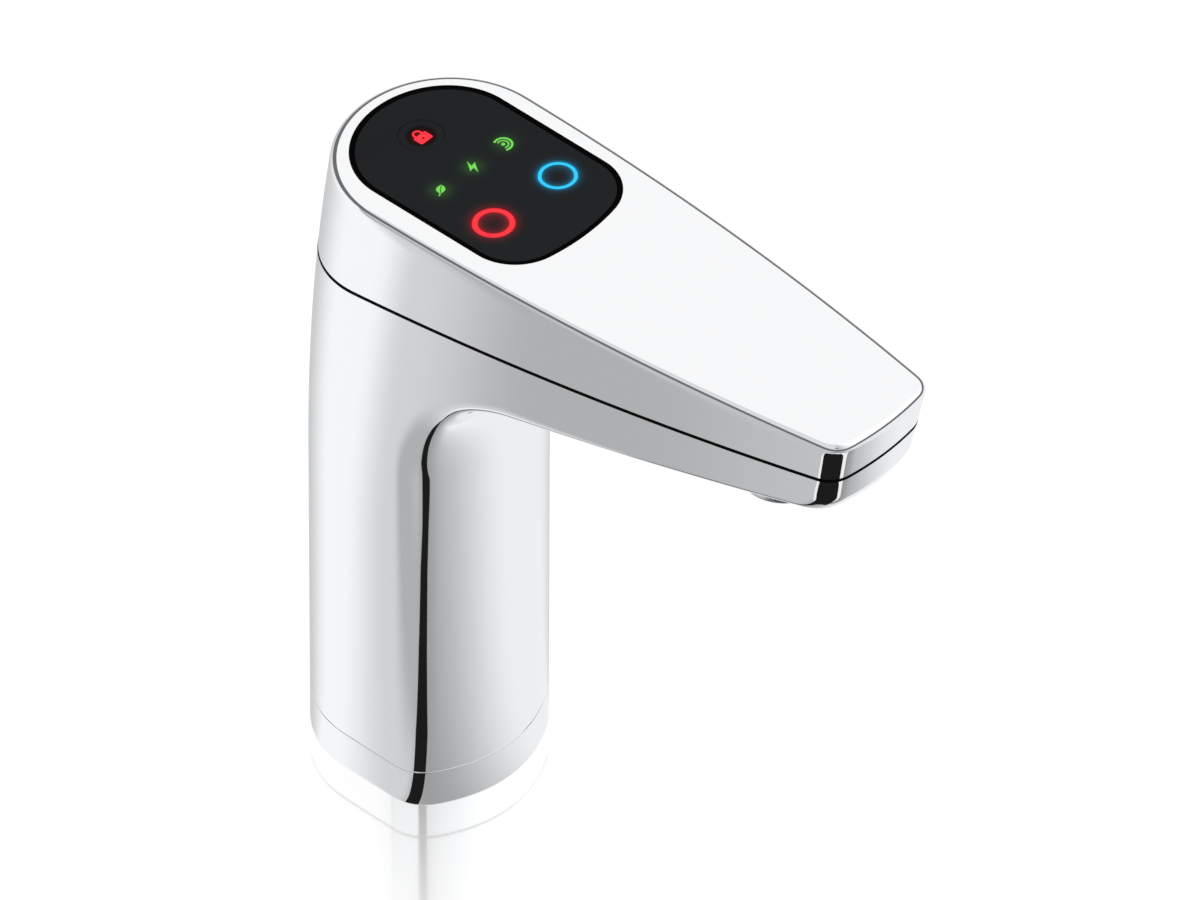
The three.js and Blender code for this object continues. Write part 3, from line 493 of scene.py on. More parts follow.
def plate(name, outlines, low, high, finish, place=None):
    """A flat body with the first outline as its edge and the others as holes through it."""
    flat = [[(x, y, 0.0) for x, y in outline] for outline in outlines]
    triangles = tessellate_polygon(flat)
    plan = np.concatenate([np.asarray(outline) for outline in outlines])
    count = len(plan)
    points = np.concatenate([np.column_stack([plan, np.full(count, low)]),
                             np.column_stack([plan, np.full(count, high)])])
    faces = [list(t) for t in triangles] + [[i + count for i in reversed(t)] for t in triangles]
    start = 0
    for outline in outlines:
        size = len(outline)
        for i in range(size):
            a, b = start + i, start + (i + 1) % size
            faces.append([a, b, b + count, a + count])
        start += size
    return piece(name, points, faces, finish, True, place)


# ---------------------------------------------------------------- shader nodes


class Value:
    """A node's output that adds Math nodes when it is used in an expression."""

    def __init__(self, nodes, socket):
        self.nodes, self.socket = nodes, socket

    def math(self, operation, *inputs):
        return self.nodes.add("ShaderNodeMath", {"operation": operation},
                              dict(enumerate(inputs)))

    def __add__(self, other):
        return self.math("ADD", self, other)

    def __sub__(self, other):
        return self.math("SUBTRACT", self, other)

    def __rsub__(self, other):
        return self.math("SUBTRACT", other, self)

    def __mul__(self, other):
        return self.math("MULTIPLY", self, other)

    def __truediv__(self, other):
        return self.math("DIVIDE", self, other)

    def __rtruediv__(self, other):
        return self.math("DIVIDE", other, self)

    __radd__ = __add__
    __rmul__ = __mul__

    def exp(self):
        return self.math("EXPONENT", self)

    def wrap(self):
        """The part after the point, from 0 to 1."""
        return self.math("FRACT", self)

    def larger(self, other):
        return self.math("MAXIMUM", self, other)

    def over(self, low, high):
        """0 at low, 1 at high, smooth between, and held outside."""
        return self.nodes.add("ShaderNodeMapRange", {"interpolation_type": "SMOOTHSTEP"},
                              {"Value": self, "From Min": low, "From Max": high})


class Nodes:
    """The nodes of a material or a world."""

    def __init__(self, tree):
        self.tree = tree

    def link(self, value, socket):
        if isinstance(value, Value):
            self.tree.links.new(value.socket, socket)
        else:
            socket.default_value = value

    def add(self, kind, settings=None, inputs=None, output=0):
        """A node of that type: its settings first, then its sockets; gives one output."""
        node = self.tree.nodes.new(kind)
        for key, value in (settings or {}).items():
            setattr(node, key, value)
        for key, value in (inputs or {}).items():
            self.link(value, node.inputs[key])
        return Value(self, node.outputs[output])

    def place(self):
        """Position on the object, in metres."""
        return self.add("ShaderNodeTexCoord", output="Object")

    def ray(self, kind):
        """1 for rays of that kind, 0 for others."""
        return self.add("ShaderNodeLightPath", output=kind)

    def distance_to(self, centre):
        return self.add("ShaderNodeVectorMath", {"operation": "DISTANCE"},
                        {0: self.place(), 1: centre}, "Value")


class Material(Nodes):
    """The nodes of a new material."""

    def __init__(self, name):
        self.material = bpy.data.materials.new(name)
        self.material.use_nodes = True
        super().__init__(self.material.node_tree)


class Finish(Material):
    """A material with one Principled shader, and the nodes that vary it."""

    def __init__(self, name, **constants):
        super().__init__(name)
        self.shader = self.tree.nodes["Principled BSDF"]
        self.feed(**constants)

    def feed(self, **inputs):
        for key, value in inputs.items():
            self.link(value, self.shader.inputs[key.replace("_", " ")])
        return self.material

    def noise(self, scale, detail=2.0, stretch=(1.0, 1.0, 1.0)):
        spot = self.add("ShaderNodeMapping", {}, {"Vector": self.place(), "Scale": stretch})
        return self.add("ShaderNodeTexNoise", {},
                        {"Vector": spot, "Scale": scale, "Detail": detail})

    def blend(self, factor, first, second):
        """Colour between two colours."""
        return self.add("ShaderNodeMix", {"data_type": "RGBA"}, {0: factor, 6: first, 7: second},
                        2)

    def shades(self, factor, tint, low, high):
        """The tint between two strengths of itself."""
        return self.blend(factor, rgba(tint, low), rgba(tint, high))

    def bump(self, height, distance, strength=1.0):
        return self.add("ShaderNodeBump", {}, {"Height": height, "Distance": distance,
                                               "Strength": strength})


class StageFinish(Material):
    """A material of the studio, made of plain shaders."""

    def __init__(self, name):
        super().__init__(name)
        self.tree.nodes.remove(self.tree.nodes["Principled BSDF"])

    def light(self, shade):
        return self.add("ShaderNodeEmission", {}, {"Color": shade})

    def mix(self, factor, first, second):
        return self.add("ShaderNodeMixShader", {}, {0: factor, 1: first, 2: second})

    def surface(self, shader):
        self.link(shader, self.tree.nodes["Material Output"].inputs["Surface"])
        return self.material


def rgba(value, gain=1.0):
    return (*(gain * channel for channel in value), 1.0)


# ---------------------------------------------------------------- finishes


def polished_chrome(name, tint, roughness=0.045):
    """Mirror chrome, with the faint unevenness of polishing in its roughness."""
    finish = Finish(name, Metallic=1.0)
    polish = finish.noise(90, 3)
    return finish.feed(Base_Color=rgba(tint), Roughness=polish * 0.012 + (roughness - 0.006))


def worked_metal(name, tint, roughness, scale, stretch):
    """Machined or stamped metal: fine marks of the tool in colour, roughness and bump."""
    finish = Finish(name, Metallic=1.0)
    marks = finish.noise(scale, 4, stretch)
    dull = finish.shades(marks, tint, 0.84, 1.06)
    return finish.feed(Base_Color=dull, Roughness=marks * 0.14 + roughness,
                       Normal=finish.bump(marks, 3e-5, 0.35))


def moulded_plastic(name, tint, roughness, grain=900.0, depth=2e-5):
    """Moulded plastic with a fine spark-eroded grain."""
    finish = Finish(name)
    cloud, grains = finish.noise(60, 2), finish.noise(grain, 3)
    return finish.feed(Base_Color=finish.shades(cloud, tint, 0.88, 1.08),
                       Roughness=grains * 0.12 + roughness,
                       Normal=finish.bump(grains, depth, 0.3))


def soft_rubber(name, tint, sheen=0.3):
    """Matt rubber with a dusty, slightly uneven face."""
    finish = Finish(name, Specular_IOR_Level=sheen)
    dust, grains = finish.noise(140, 4), finish.noise(1500, 2)
    return finish.feed(Base_Color=finish.shades(dust, tint, 0.7, 1.7),
                       Roughness=dust * 0.1 + 0.72, Normal=finish.bump(grains, 2e-5, 0.4))


def lit_plastic(name, tint, strength):
    """A light guide: it glows, a little less evenly where the lamp behind it is further off."""
    finish = Finish(name, Roughness=0.45, Specular_IOR_Level=0.2, Emission_Strength=strength)
    cloud = finish.noise(420, 2)
    glow = finish.shades(cloud, tint, 0.93, 1.05)
    return finish.feed(Base_Color=rgba(tint, 0.25), Emission_Color=glow)


def circuit_board(name, tint):
    """Green solder mask with paler tracks under it."""
    finish = Finish(name, Roughness=0.35)
    tracks = finish.add("ShaderNodeTexBrick", {}, {"Vector": finish.place(), "Scale": 260.0,
                                                   "Mortar Size": 0.06}, "Fac")
    return finish.feed(Base_Color=finish.shades(tracks, tint, 1.0, 1.7),
                       Normal=finish.bump(tracks, 3e-5, 0.5))


def halo(finish, centre, radius, spread, gain):
    """Light that a lit ring or symbol throws on the surface round it."""
    off = (finish.distance_to(centre) - radius) / spread
    return (off * off * -1.0).exp() * gain


def charcoal_panel(name, tint, lights, roughness=0.42, sheen=0.05, shade_pad=None):
    """Smooth charcoal plastic, lit softly round each (centre, radius, spread, colour, gain).

    The shade pad (centre, inner radius, outer radius, colour) is painted shade: a darker round
    patch with a soft edge.
    """
    finish = Finish(name, Specular_IOR_Level=sheen)
    cloud, grains = finish.noise(45, 3), finish.noise(2600, 2)
    glow = (0.0, 0.0, 0.0)
    for centre, radius, spread, light, gain in lights:
        mask = halo(finish, centre, radius, spread, gain)
        lit = finish.blend(mask, (0, 0, 0, 1), rgba(light))
        glow = finish.add("ShaderNodeVectorMath", {"operation": "ADD"}, {0: glow, 1: lit})
    if lights:
        finish.feed(Emission_Color=glow, Emission_Strength=1.0)
    base = finish.shades(cloud, tint, 0.93, 1.07)
    # Painted shade: the pad's colour within its inner radius, fading to the charcoal by its outer
    # radius
    if shade_pad:
        centre, inner, outer, dark = shade_pad
        base = finish.blend(finish.distance_to(centre).over(inner, outer), rgba(dark), base)
    return finish.feed(Base_Color=base, Roughness=grains * 0.08 + (roughness - 0.04),
                       Normal=finish.bump(grains, 4e-6, 0.2))


# ---------------------------------------------------------------- operators


def sizes():
    scene = bpy.context.scene
    return scene.tap_body, scene.tap_panel, scene.tap_colours


SHELL_EDGE, BASE_EDGE, FASCIA_EDGE, RIM_EDGE = 0.07 * MM, 0.15 * MM, 0.18 * MM, 0.1 * MM
OUTLET_COVERS, BRIM = 0.3 * MM, 0.3 * MM


def chrome_of(c):
    name = "polished_chrome"
    return bpy.data.materials.get(name) or polished_chrome(name, c.chrome)


class TAP_OT_body(bpy.types.Operator):
    """Chrome body: column, bend, arm and nose up to the seam"""
    bl_idname = "tap.body"
    bl_label = "Chrome body"

    def execute(self, context):
        s, _, c = sizes()
        stations = edge_stations(s)
        rows = []
        for station, end in zip(stations, wall_ends(s, stations)):
            half = section(s, station, end)
            rows.append(np.concatenate([half[1:][::-1] * LEFT_SIDE, half]))
        rows[-1][:, 2] = seam_at(s, -rows[-1][:, 1])
        points, faces = grid(rows, False)
        hidden = s.outlet_radius - OUTLET_COVERS
        at_outlet = (np.hypot(points[:, 0], points[:, 1] + s.outlet_reach) < hidden) \
            & (points[:, 2] > s.bend_start)
        faces = [f for f in faces if not at_outlet[f].all()]
        body = piece("chrome_body", points, faces, chrome_of(c))
        soften(thicken(body, s.wall), SHELL_EDGE)
        belongs(body, "spout", "chrome", "body_shell")
        return {"FINISHED"}


GASKET_GAP, GASKET_LIP, GASKET_PROUD = 0.02 * MM, 0.22 * MM, 0.05 * MM


class TAP_OT_cover(bpy.types.Operator):
    """Chrome top cover with the window for the panel, and the gasket in the seam"""
    bl_idname = "tap.cover"
    bl_label = "Top cover and seam"

    def execute(self, context):
        s, p, c = sizes()

        def foot(reach):
            return seam_at(s, reach) + s.seam_gap

        def fillet(t):
            a = t * math.pi / 2
            return lambda reach: top_at(s, reach) - s.top_edge * (1 - math.sin(a))

        rows = [plan_loop(s, lambda r, t=t: mix(foot(r), top_at(s, r) - s.top_edge, t), 0.0)
                for t in steps(8)]
        for t in steps(10)[1:]:
            inset = s.top_edge * (1 - math.cos(t * math.pi / 2))
            rows.append(plan_loop(s, fillet(t), inset))
        rows.append(plan_loop(s, lambda r: top_at(s, r), s.top_edge + BRIM))
        points, faces = grid(rows, True)
        place, brim = panel_frame(s), rows[-1]
        window = [tuple(place @ Vector((x, y, 0))) for x, y in panel_outline(p, 0.0)]
        lid = tessellate_polygon([[(x, y, 0) for x, y, _ in loop] for loop in (brim, window)])
        first = len(points) - len(brim)
        points = np.concatenate([points, np.array(window)])
        faces += [upward([first + i for i in t], points) for t in lid]
        cover = piece("top_cover_shell", points, faces, chrome_of(c))
        soften(thicken(cover, s.wall), SHELL_EDGE)
        belongs(cover, "spout", "chrome", "top_cover")

        low, high = (lambda r: seam_at(s, r) + GASKET_GAP), (lambda r: foot(r) - GASKET_GAP)
        below, above = (lambda r: low(r) - GASKET_LIP), (lambda r: high(r) + GASKET_LIP)
        band = [plan_loop(s, height, inset) for height, inset in (
            (below, -GASKET_PROUD), (above, -GASKET_PROUD), (above, GASKET_GAP),
            (high, GASKET_GAP), (high, s.wall), (low, s.wall), (low, GASKET_GAP),
            (below, GASKET_GAP))]
        points, faces = grid(band + band[:1], True)
        rubber = soft_rubber("gasket_rubber", c.rim, 0.02)
        gasket = piece("seam_strip", points, faces, rubber, True)
        belongs(gasket, "spout", "rubber", "seam_gasket")
        return {"FINISHED"}


def upward(face, points):
    """The same triangle, turned so that it faces up."""
    a, b, q = (points[i] for i in face)
    return face if np.cross(b - a, q - a)[2] > 0 else face[::-1]


# The base ring's bore for the spigot, its recess and its groove for the deck gasket
BASE_BORE, RECESS_TOP, RECESS_GAP = 15.3 * MM, 5.3 * MM, 0.3 * MM
GROOVE_INNER, GROOVE_TOP, GROOVE_GAP = 20.25 * MM, 1.35 * MM, 0.15 * MM


class TAP_OT_base(bpy.types.Operator):
    """Fixed chrome ring that the tap stands and turns on"""
    bl_idname = "tap.base"
    bl_label = "Base ring"

    def execute(self, context):
        s, _, c = sizes()
        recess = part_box("mounting_shank")[1].x + RECESS_GAP
        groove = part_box("deck_gasket")[1].x + GROOVE_GAP
        outer = [column_loop(s, 0.0, 0.0), column_loop(s, s.base_height - s.base_chamfer, 0.0),
                 column_loop(s, s.base_height, s.base_chamfer)]
        ways = [(BASE_BORE, s.base_height), (BASE_BORE, RECESS_TOP), (recess, RECESS_TOP),
                (recess, 0.0), (GROOVE_INNER, 0.0), (GROOVE_INNER, GROOVE_TOP),
                (groove, GROOVE_TOP), (groove, 0.0)]
        angles = np.arctan2(outer[0][:, 1], outer[0][:, 0])
        rows = outer + rings(angles, ways)
        points, faces = grid(rows + rows[:1], True)
        ring = piece("base_collar", points, faces, chrome_of(c), True)
        soften(ring, BASE_EDGE, 30.0)
        belongs(ring, "base", "chrome", "base_ring")
        return {"FINISHED"}


def dished(p, edge):
    """Profile of a key's face: level at the rim, dished inside the edge."""
    return [(edge * t, -p.face_depth - p.key_dish * (1 - t * t)) for t in steps(14)[::-1]]


KEY_GAP, KEY_STEM, RING_EDGE = 0.12 * MM, 1.6 * MM, 0.18 * MM
KEY_FLANGE = (-2.55 * MM, -1.75 * MM)
# The glow on a key's face: spread in ring widths and gain; the lock's spread and gain, and the
# inner and outer radius of the painted shade in its dish
RING_GLOWS = ((0.75, 0.30), (2.0, 0.12))
LOCK_GLOW, LOCK_SHADE_RADII = (1.7 * MM, 0.30), (3.2 * MM, 4.4 * MM)
LOCK_ROOT, LOCK_RISE, LOCK_EDGE = 0.1 * MM, 0.16 * MM, 0.03 * MM


class TAP_OT_keys(bpy.types.Operator):
    """Three dished touch keys, with the light rings of the two water keys and the lit lock"""
    bl_idname = "tap.keys"
    bl_label = "Touch keys"

    def execute(self, context):
        s, p, c = sizes()
        place = panel_frame(s)
        keys = {
            "lock": (0.0, p.lock_reach, 0.0, 0.0, c.boiling),
            "boiling": (-p.spacing, p.key_reach, p.boiling_radius, p.boiling_ring, c.boiling),
            "chilled": (p.spacing, p.key_reach, p.chilled_radius, p.chilled_ring, c.chilled),
        }
        for name, (x, reach, radius, ring, light) in keys.items():
            self.key(p, c, place, name, (x, -reach), radius, ring, light)
        self.lock_symbol(p, c, place)
        return {"FINISHED"}

    def key(self, p, c, place, name, centre, radius, ring, light):
        body, top = name + "_button", -p.face_depth
        middle = place @ Vector((*centre, top))
        inner, outer = radius - ring / 2 - KEY_GAP, radius + ring / 2 + KEY_GAP
        to_panel = place.inverted()
        depth = min((to_panel @ v.co).z for v in NODES[name + "_key"].data.vertices)
        flange_low, flange_top = KEY_FLANGE
        lip = p.key_radius + p.key_lip
        foot = [(0.0, depth), (KEY_STEM, depth), (KEY_STEM, flange_low), (lip, flange_low),
                (lip, flange_top), (p.key_radius, flange_top), (p.key_radius, top - KEY_GAP),
                (p.key_radius - KEY_GAP, top)]
        if ring:
            low = top - p.ring_depth - KEY_GAP
            face = [(outer, top), (outer, low), (inner, low)] + dished(p, inner)
            lights = [(middle, radius, ring * share, light, gain) for share, gain in RING_GLOWS]
            shade_pad = None
        else:
            face = dished(p, p.key_radius - 4 * KEY_GAP)
            lights = [(middle, 0.0, LOCK_GLOW[0], light, LOCK_GLOW[1])]
            # Painted shade in the lock key's dish: near-black within the inner radius, fading to
            # the charcoal by the outer
            shade_pad = (middle, *LOCK_SHADE_RADII, c.rim)
        finish = charcoal_panel(name + "_key_face", c.charcoal, lights, shade_pad=shade_pad)
        key = turned(name + "_touch_key", foot + face, finish, centre, place=place)
        belongs(key, body, "key_charcoal", name + "_key")
        if ring:
            self.light_ring(p, place, name, centre, radius, ring, light, body)

    def light_ring(self, p, place, name, centre, radius, width, light, body):
        top, low = -p.face_depth, -p.face_depth - p.ring_depth
        inner, outer = radius - width / 2, radius + width / 2
        crest, quarter = top - RING_EDGE, math.pi / 2
        round_top = arc(outer - RING_EDGE, crest, RING_EDGE, 0, quarter, 5) \
            + arc(inner + RING_EDGE, crest, RING_EDGE, quarter, math.pi, 5)
        ring = turned(name + "_glow_ring", [(inner, low), (outer, low)] + round_top,
                      lit_plastic(name + "_light", light, 1.0), centre, place=place)
        colour_slot = {"boiling": "boiling_red", "chilled": "chilled_blue"}[name]
        belongs(ring, body, colour_slot, name + "_light_ring")

    def lock_symbol(self, p, c, place):
        """A padlock that lies with its shackle towards the back of the tap."""
        level = -p.face_depth - p.key_dish
        half, low, high, arm, corner = (v * MM for v in (2.05, -2.2, 0.75, 0.5, 0.35))
        bend, rise = 0.85 * MM, 0.5 * MM
        box = rounded_box(-half, low, half, high, corner)
        bow = [(-bend - arm, high), *arc(0, high + rise, bend + arm, math.pi, 0),
               (bend + arm, high), (bend, high),
               *arc(0, high + rise, bend, 0, math.pi), (-bend, high)]
        keyhole = circle(0.0, -0.75 * MM, 0.4 * MM, 24)
        finish = lit_plastic("lock_light", c.boiling, 1.15)
        put = place @ Matrix.Translation((0, -p.lock_reach, 0))
        for name, outlines in (("case", [box, keyhole]), ("shackle", [bow])):
            part = plate("lock_symbol_" + name, outlines, level - LOCK_ROOT,
                         level + LOCK_RISE, finish, put)
            belongs(soften(part, LOCK_EDGE), "lock_button", "boiling_red")


def rounded_box(x0, y0, x1, y1, r):
    corners = [(x1 - r, y1 - r, 0), (x0 + r, y1 - r, 1), (x0 + r, y0 + r, 2), (x1 - r, y0 + r, 3)]
    return [q for x, y, turn in corners
            for q in arc(x, y, r, turn * math.pi / 2, (turn + 1) * math.pi / 2, 6)]


HOLE_GAP, FASCIA_GAP, RIM_GAP, SYMBOL_RISE, SYMBOL_ROOT = (
    v * MM for v in (0.05, 0.05, 0.04, 0.03, 0.05))
# The glow that lit symbols and rings throw on the fascia: spread and gain
STATUS_GLOW, BOILING_GLOW, CHILLED_GLOW = (2.6 * MM, 0.10), (1.9 * MM, 0.12), (1.6 * MM, 0.10)


class TAP_OT_panel(bpy.types.Operator):
    """Charcoal fascia in its black rim, with the three lit status symbols"""
    bl_idname = "tap.panel"
    bl_label = "Touch panel"

    def execute(self, context):
        s, p, c = sizes()
        place = panel_frame(s)
        keys = [(0.0, -p.lock_reach), (-p.spacing, -p.key_reach), (p.spacing, -p.key_reach)]
        holes = [circle(x, y, p.key_radius + HOLE_GAP) for x, y in keys]
        spots = [(k * p.spacing, p.status_reach, 0.0, c.status, STATUS_GLOW) for k in (-1, 0, 1)]
        spots += [(-p.spacing, p.key_reach, p.boiling_radius, c.boiling, BOILING_GLOW),
                  (p.spacing, p.key_reach, p.chilled_radius, c.chilled, CHILLED_GLOW)]
        lights = [(place @ Vector((x, -reach, -p.face_depth)), radius, spread, light, gain)
                  for x, reach, radius, light, (spread, gain) in spots]
        finish = charcoal_panel("charcoal_fascia", c.charcoal, lights)
        fascia = plate("touch_panel_face", [panel_outline(p, p.rim_width + FASCIA_GAP)] + holes,
                       -p.back_face, -p.face_depth, finish, place)
        belongs(soften(fascia, FASCIA_EDGE), "spout", "fascia_charcoal", "touch_fascia")
        rim = plate("touch_panel_rim",
                    [panel_outline(p, RIM_GAP), panel_outline(p, p.rim_width)],
                    -p.rebate_depth, -p.rim_depth,
                    charcoal_panel("rim_black", c.rim, [], 0.5, 0.01), place)
        belongs(soften(rim, RIM_EDGE), "spout", "fascia_rim_black", "fascia_seal")
        self.symbols(p, c, place)
        return {"FINISHED"}

    def symbols(self, p, c, place):
        """Leaf, bolt and signal, drawn in millimetres about each place on the fascia."""
        finish = lit_plastic("status_light", c.status, 1.0)
        shapes = {"leaf": (-1, -43, leaf_shapes()), "bolt": (0, 17, bolt_shapes()),
                  "signal": (1, 0, signal_shapes())}
        for name, (side, turn, outlines) in shapes.items():
            put = place @ Matrix.Translation((side * p.spacing, -p.status_reach, 0)) \
                @ Matrix.Rotation(math.radians(turn), 4, "Z")
            for i, outline in enumerate(outlines):
                scaled = [[(x * MM, y * MM) for x, y in loop] for loop in outline]
                part = plate(f"{name}_symbol_{i + 1}", scaled, -p.face_depth - SYMBOL_ROOT,
                             -p.face_depth + SYMBOL_RISE, finish, put)
                belongs(part, "spout", "status_green")


def leaf_shapes():
    """A leaf with its rib left dark, and its stalk."""
    tip, foot, swell, slant, rib, gap = (0.35, 2.0), (-0.15, -1.15), 1.15, 0.12, 0.13, 0.11
    spine = [(mix(foot[0], tip[0], t), mix(foot[1], tip[1], t)) for t in steps(16)]
    left, right = [], []
    for t, (x, y) in zip(steps(16), spine):
        bulge = swell * math.sin(math.pi * t) ** 0.8
        side = max(bulge, rib * (1 - t))
        left.append((x - side, y + slant * bulge))
        right.append((x + side, y - slant * bulge))
    half_left = left + [(x - gap, y) for x, y in spine[-3::-1]]
    half_right = right + [(x + gap, y) for x, y in spine[-3::-1]]
    stalk = [(-0.33, -1.0), (0.03, -1.0), (-0.25, -2.1), (-0.62, -2.0)]
    return [[half_left], [half_right], [stalk]]


def bolt_shapes():
    """A lightning bolt."""
    return [[[(1.25, 2.2), (-1.75, -0.25), (-0.2, -0.35), (-1.25, -2.2), (1.75, 0.25),
              (0.2, 0.35)]]]


def signal_shapes():
    """A dot with two arcs round it."""
    centre, start, stop = (-0.55, 0.0), math.radians(-118), math.radians(118)
    shapes = [[circle(*centre, 0.55, 24)]]
    for radius, width in ((1.35, 0.42), (2.25, 0.6)):
        shapes.append([arc(*centre, radius + width / 2, start, stop, 32)
                       + arc(*centre, radius - width / 2, stop, start, 32)])
    return shapes


CELL, CELL_RINGS, CELL_GAP = 1.15 * MM, ((6, 2.9 * MM), (12, 5.8 * MM)), 0.15 * MM
CELL_EDGE, WASHER_EDGE, THREAD_EDGE, NUT_EDGE = 0.05 * MM, 0.3 * MM, 0.05 * MM, 0.25 * MM


class TAP_OT_outlet(bpy.types.Operator):
    """Chrome outlet under the nose, with the honeycomb flow straightener in it"""
    bl_idname = "tap.outlet"
    bl_label = "Outlet"

    def execute(self, context):
        s, _, c = sizes()
        r, bore = s.outlet_radius, s.outlet_bore
        low = underside_at(s, s.outlet_reach) - s.outlet_drop
        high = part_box("outlet_nozzle")[1].z
        edge, lip, quarter = 1.4 * MM, 0.3 * MM, math.pi / 2
        round_in = arc(bore + lip, low + lip, lip, -math.pi, -quarter, 5)
        round_out = arc(r - edge, low + edge, edge, -quarter, 0, 11)
        shape = round_in + round_out + [(r, high), (bore, high)]
        nozzle = turned("outlet_spout", shape, polished_chrome("satin_chrome", c.chrome, 0.32),
                        (0.0, -s.outlet_reach), 128)
        belongs(nozzle, "spout", "chrome", "outlet_nozzle")
        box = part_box("flow_straightener")
        cells = [circle(0.0, 0.0, CELL, 6)]
        for count, ring in CELL_RINGS:
            cells += [circle(x, y, CELL, 6) for x, y in circle(0.0, 0.0, ring, count)]
        outline = circle(0.0, 0.0, bore - CELL_GAP, 72)
        straightener = plate("flow_cells", [outline] + cells, box[0].z, box[1].z,
                             moulded_plastic("flow_plastic", c.pale, 0.4),
                             Matrix.Translation((0, -s.outlet_reach, 0)))
        belongs(soften(straightener, CELL_EDGE, segments=1), "spout", "pale_plastic",
                "flow_straightener")
        return {"FINISHED"}


class TAP_OT_fixings(bpy.types.Operator):
    """Shank, gaskets, washers and nut under the deck"""
    bl_idname = "tap.fixings"
    bl_label = "Deck fixings"

    def execute(self, context):
        _, _, c = sizes()
        brass = worked_metal("turned_brass", c.brass, 0.22, 700, (1, 1, 12))
        steel = worked_metal("stamped_steel", c.steel, 0.28, 500, (1, 6, 1))
        rubber = soft_rubber("washer_rubber", c.rubber)
        for name, finish, slot_name in (("deck_gasket", rubber, "rubber"),
                                        ("rubber_washer", rubber, "rubber"),
                                        ("clamp_washer", steel, "steel"),
                                        ("retaining_clip", steel, "steel")):
            self.ring(name, finish, slot_name)
        self.friction_ring(rubber)
        self.shank(brass)
        self.nut(brass)
        return {"FINISHED"}

    def ring(self, name, finish, slot_name):
        inner, outer, low, high = ring_of(name)
        shape = [(inner, low), (outer, low), (outer, high), (inner, high)]
        thing = soften(turned(name.replace("_", "-"), shape, finish), WASHER_EDGE)
        belongs(thing, "base", slot_name, name)

    def friction_ring(self, finish):
        low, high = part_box("friction_ring")
        half = (high.z - low.z) / 2
        middle, level = high.x - half, (high.z + low.z) / 2
        shape = [(middle + half * math.cos(a), level + half * math.sin(a))
                 for a in 2 * math.pi * steps(20)[:-1]]
        belongs(turned("friction-ring", shape, finish), "base", "rubber", "friction_ring")

    def shank(self, finish):
        """The threaded tail, with a real thread from under the flange to its end."""
        radii, heights = corners_of("mounting_shank")
        bore, flange, low, high = ring_of("mounting_shank")
        tail = radii[heights < low + 1 * MM].max()
        spigot = radii[heights > high - 1 * MM].max()
        flange_top = heights[radii > flange - 0.1 * MM].max()
        pitch, thread_top = 1.5 * MM, -3 * MM
        root, half_root, half_crest = tail - 0.62 * MM, pitch * 0.40, pitch * 0.08
        shape = [(bore, low), (root, low)]
        for z in np.arange(low + pitch / 2, thread_top, pitch):
            shape += [(root, z - half_root), (tail, z - half_crest), (tail, z + half_crest),
                      (root, z + half_root)]
        shape += [(root, 0.0), (flange, 0.0), (flange, flange_top), (spigot, flange_top),
                  (spigot, high), (bore, high)]
        shank = soften(turned("threaded_shank", shape, finish, segments=72), THREAD_EDGE,
                       segments=1)
        belongs(shank, "base", "brass", "mounting_shank")

    def nut(self, finish):
        bore, corner, low, high = ring_of("fixing_nut")
        chamfer, flat = 1.3 * MM, corner * math.cos(math.pi / 6)
        a = 2 * math.pi * steps(72)[:-1]
        hexagon = flat / np.cos((a % (math.pi / 3)) - math.pi / 6)
        rounded = np.minimum(hexagon, flat)
        rows = rings(a, ((rounded, low), (hexagon, low + chamfer), (hexagon, high - chamfer),
                         (rounded, high), (bore, high), (bore, low)))
        points, faces = grid(rows + rows[:1], True)
        nut = soften(piece("hexagon_nut", points, faces, finish, True), NUT_EDGE, 25.0, 2)
        belongs(nut, "base", "brass", "fixing_nut")


def corners_of(node):
    """Radius about the swivel's axis, and height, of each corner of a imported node."""
    x, y, z = np.array([v.co for v in NODES[node].data.vertices]).T
    return np.hypot(x, y), z


def ring_of(node):
    """Inner and outer radius, low and high end of a ring about the swivel's axis."""
    radii, heights = corners_of(node)
    return radii.min(), radii.max(), heights.min(), heights.max()


class TAP_OT_inner_pieces(bpy.types.Operator):
    """Finishes for the pieces inside the tap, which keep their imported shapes"""
    bl_idname = "tap.inner_pieces"
    bl_label = "Inner pieces"

    def execute(self, context):
        _, _, c = sizes()
        finishes = {
            "black_plastic": moulded_plastic("black_moulding", c.black_plastic, 0.42),
            "switch_black": moulded_plastic("component_black", c.black_plastic, 0.3),
            "bearing_plastic": moulded_plastic("acetal", c.acetal, 0.35, 700),
            "pale_plastic": moulded_plastic("pale_moulding", c.pale, 0.4),
            "tube_plastic": moulded_plastic("tube_plastic", c.tube, 0.3, 500),
            "rubber": soft_rubber("cable_rubber", c.rubber),
            "steel": worked_metal("screw_steel", c.steel, 0.25, 600, (1, 1, 4)),
            "circuit_board": circuit_board("solder_mask", c.board),
            "led_white": moulded_plastic("lamp_body", c.pale, 0.25),
            "status_green": lit_plastic("guide_light", c.status, 0.6),
        }
        slots = {row["node"]: row["material_slot"] for row in frame["record"]["subparts"]}
        for name, node in NODES.items():
            if slots[name] in finishes:
                node.data.materials.clear()
                node.data.materials.append(finishes[slots[name]])
        return {"FINISHED"}


# Changes of the cards' shade: by compass direction from a point, in degrees, and across the
# side card, in metres
BACK_POINT, BACK_SHADES = (-0.0228, 0.0125), ((62, 118, 0.36),)
SIDE_HEADING = 138.2
SIDE_SHADES = ((0.0125, 0.027, -0.30), (0.027, 0.070, -0.22), (0.100, 0.160, 0.10))
FRONT_SHADES = ((225, 302, 0.55),)
CORNER_POINT, CORNER_SHADES = (0.0235, -0.019), ((-8, 34, -0.29),)
SIDE_SHADE, FRONT_SHADE, SIDE_TO_FRONT, CEILING_LIFT = 0.62, 0.36, (205, 225), 0.2
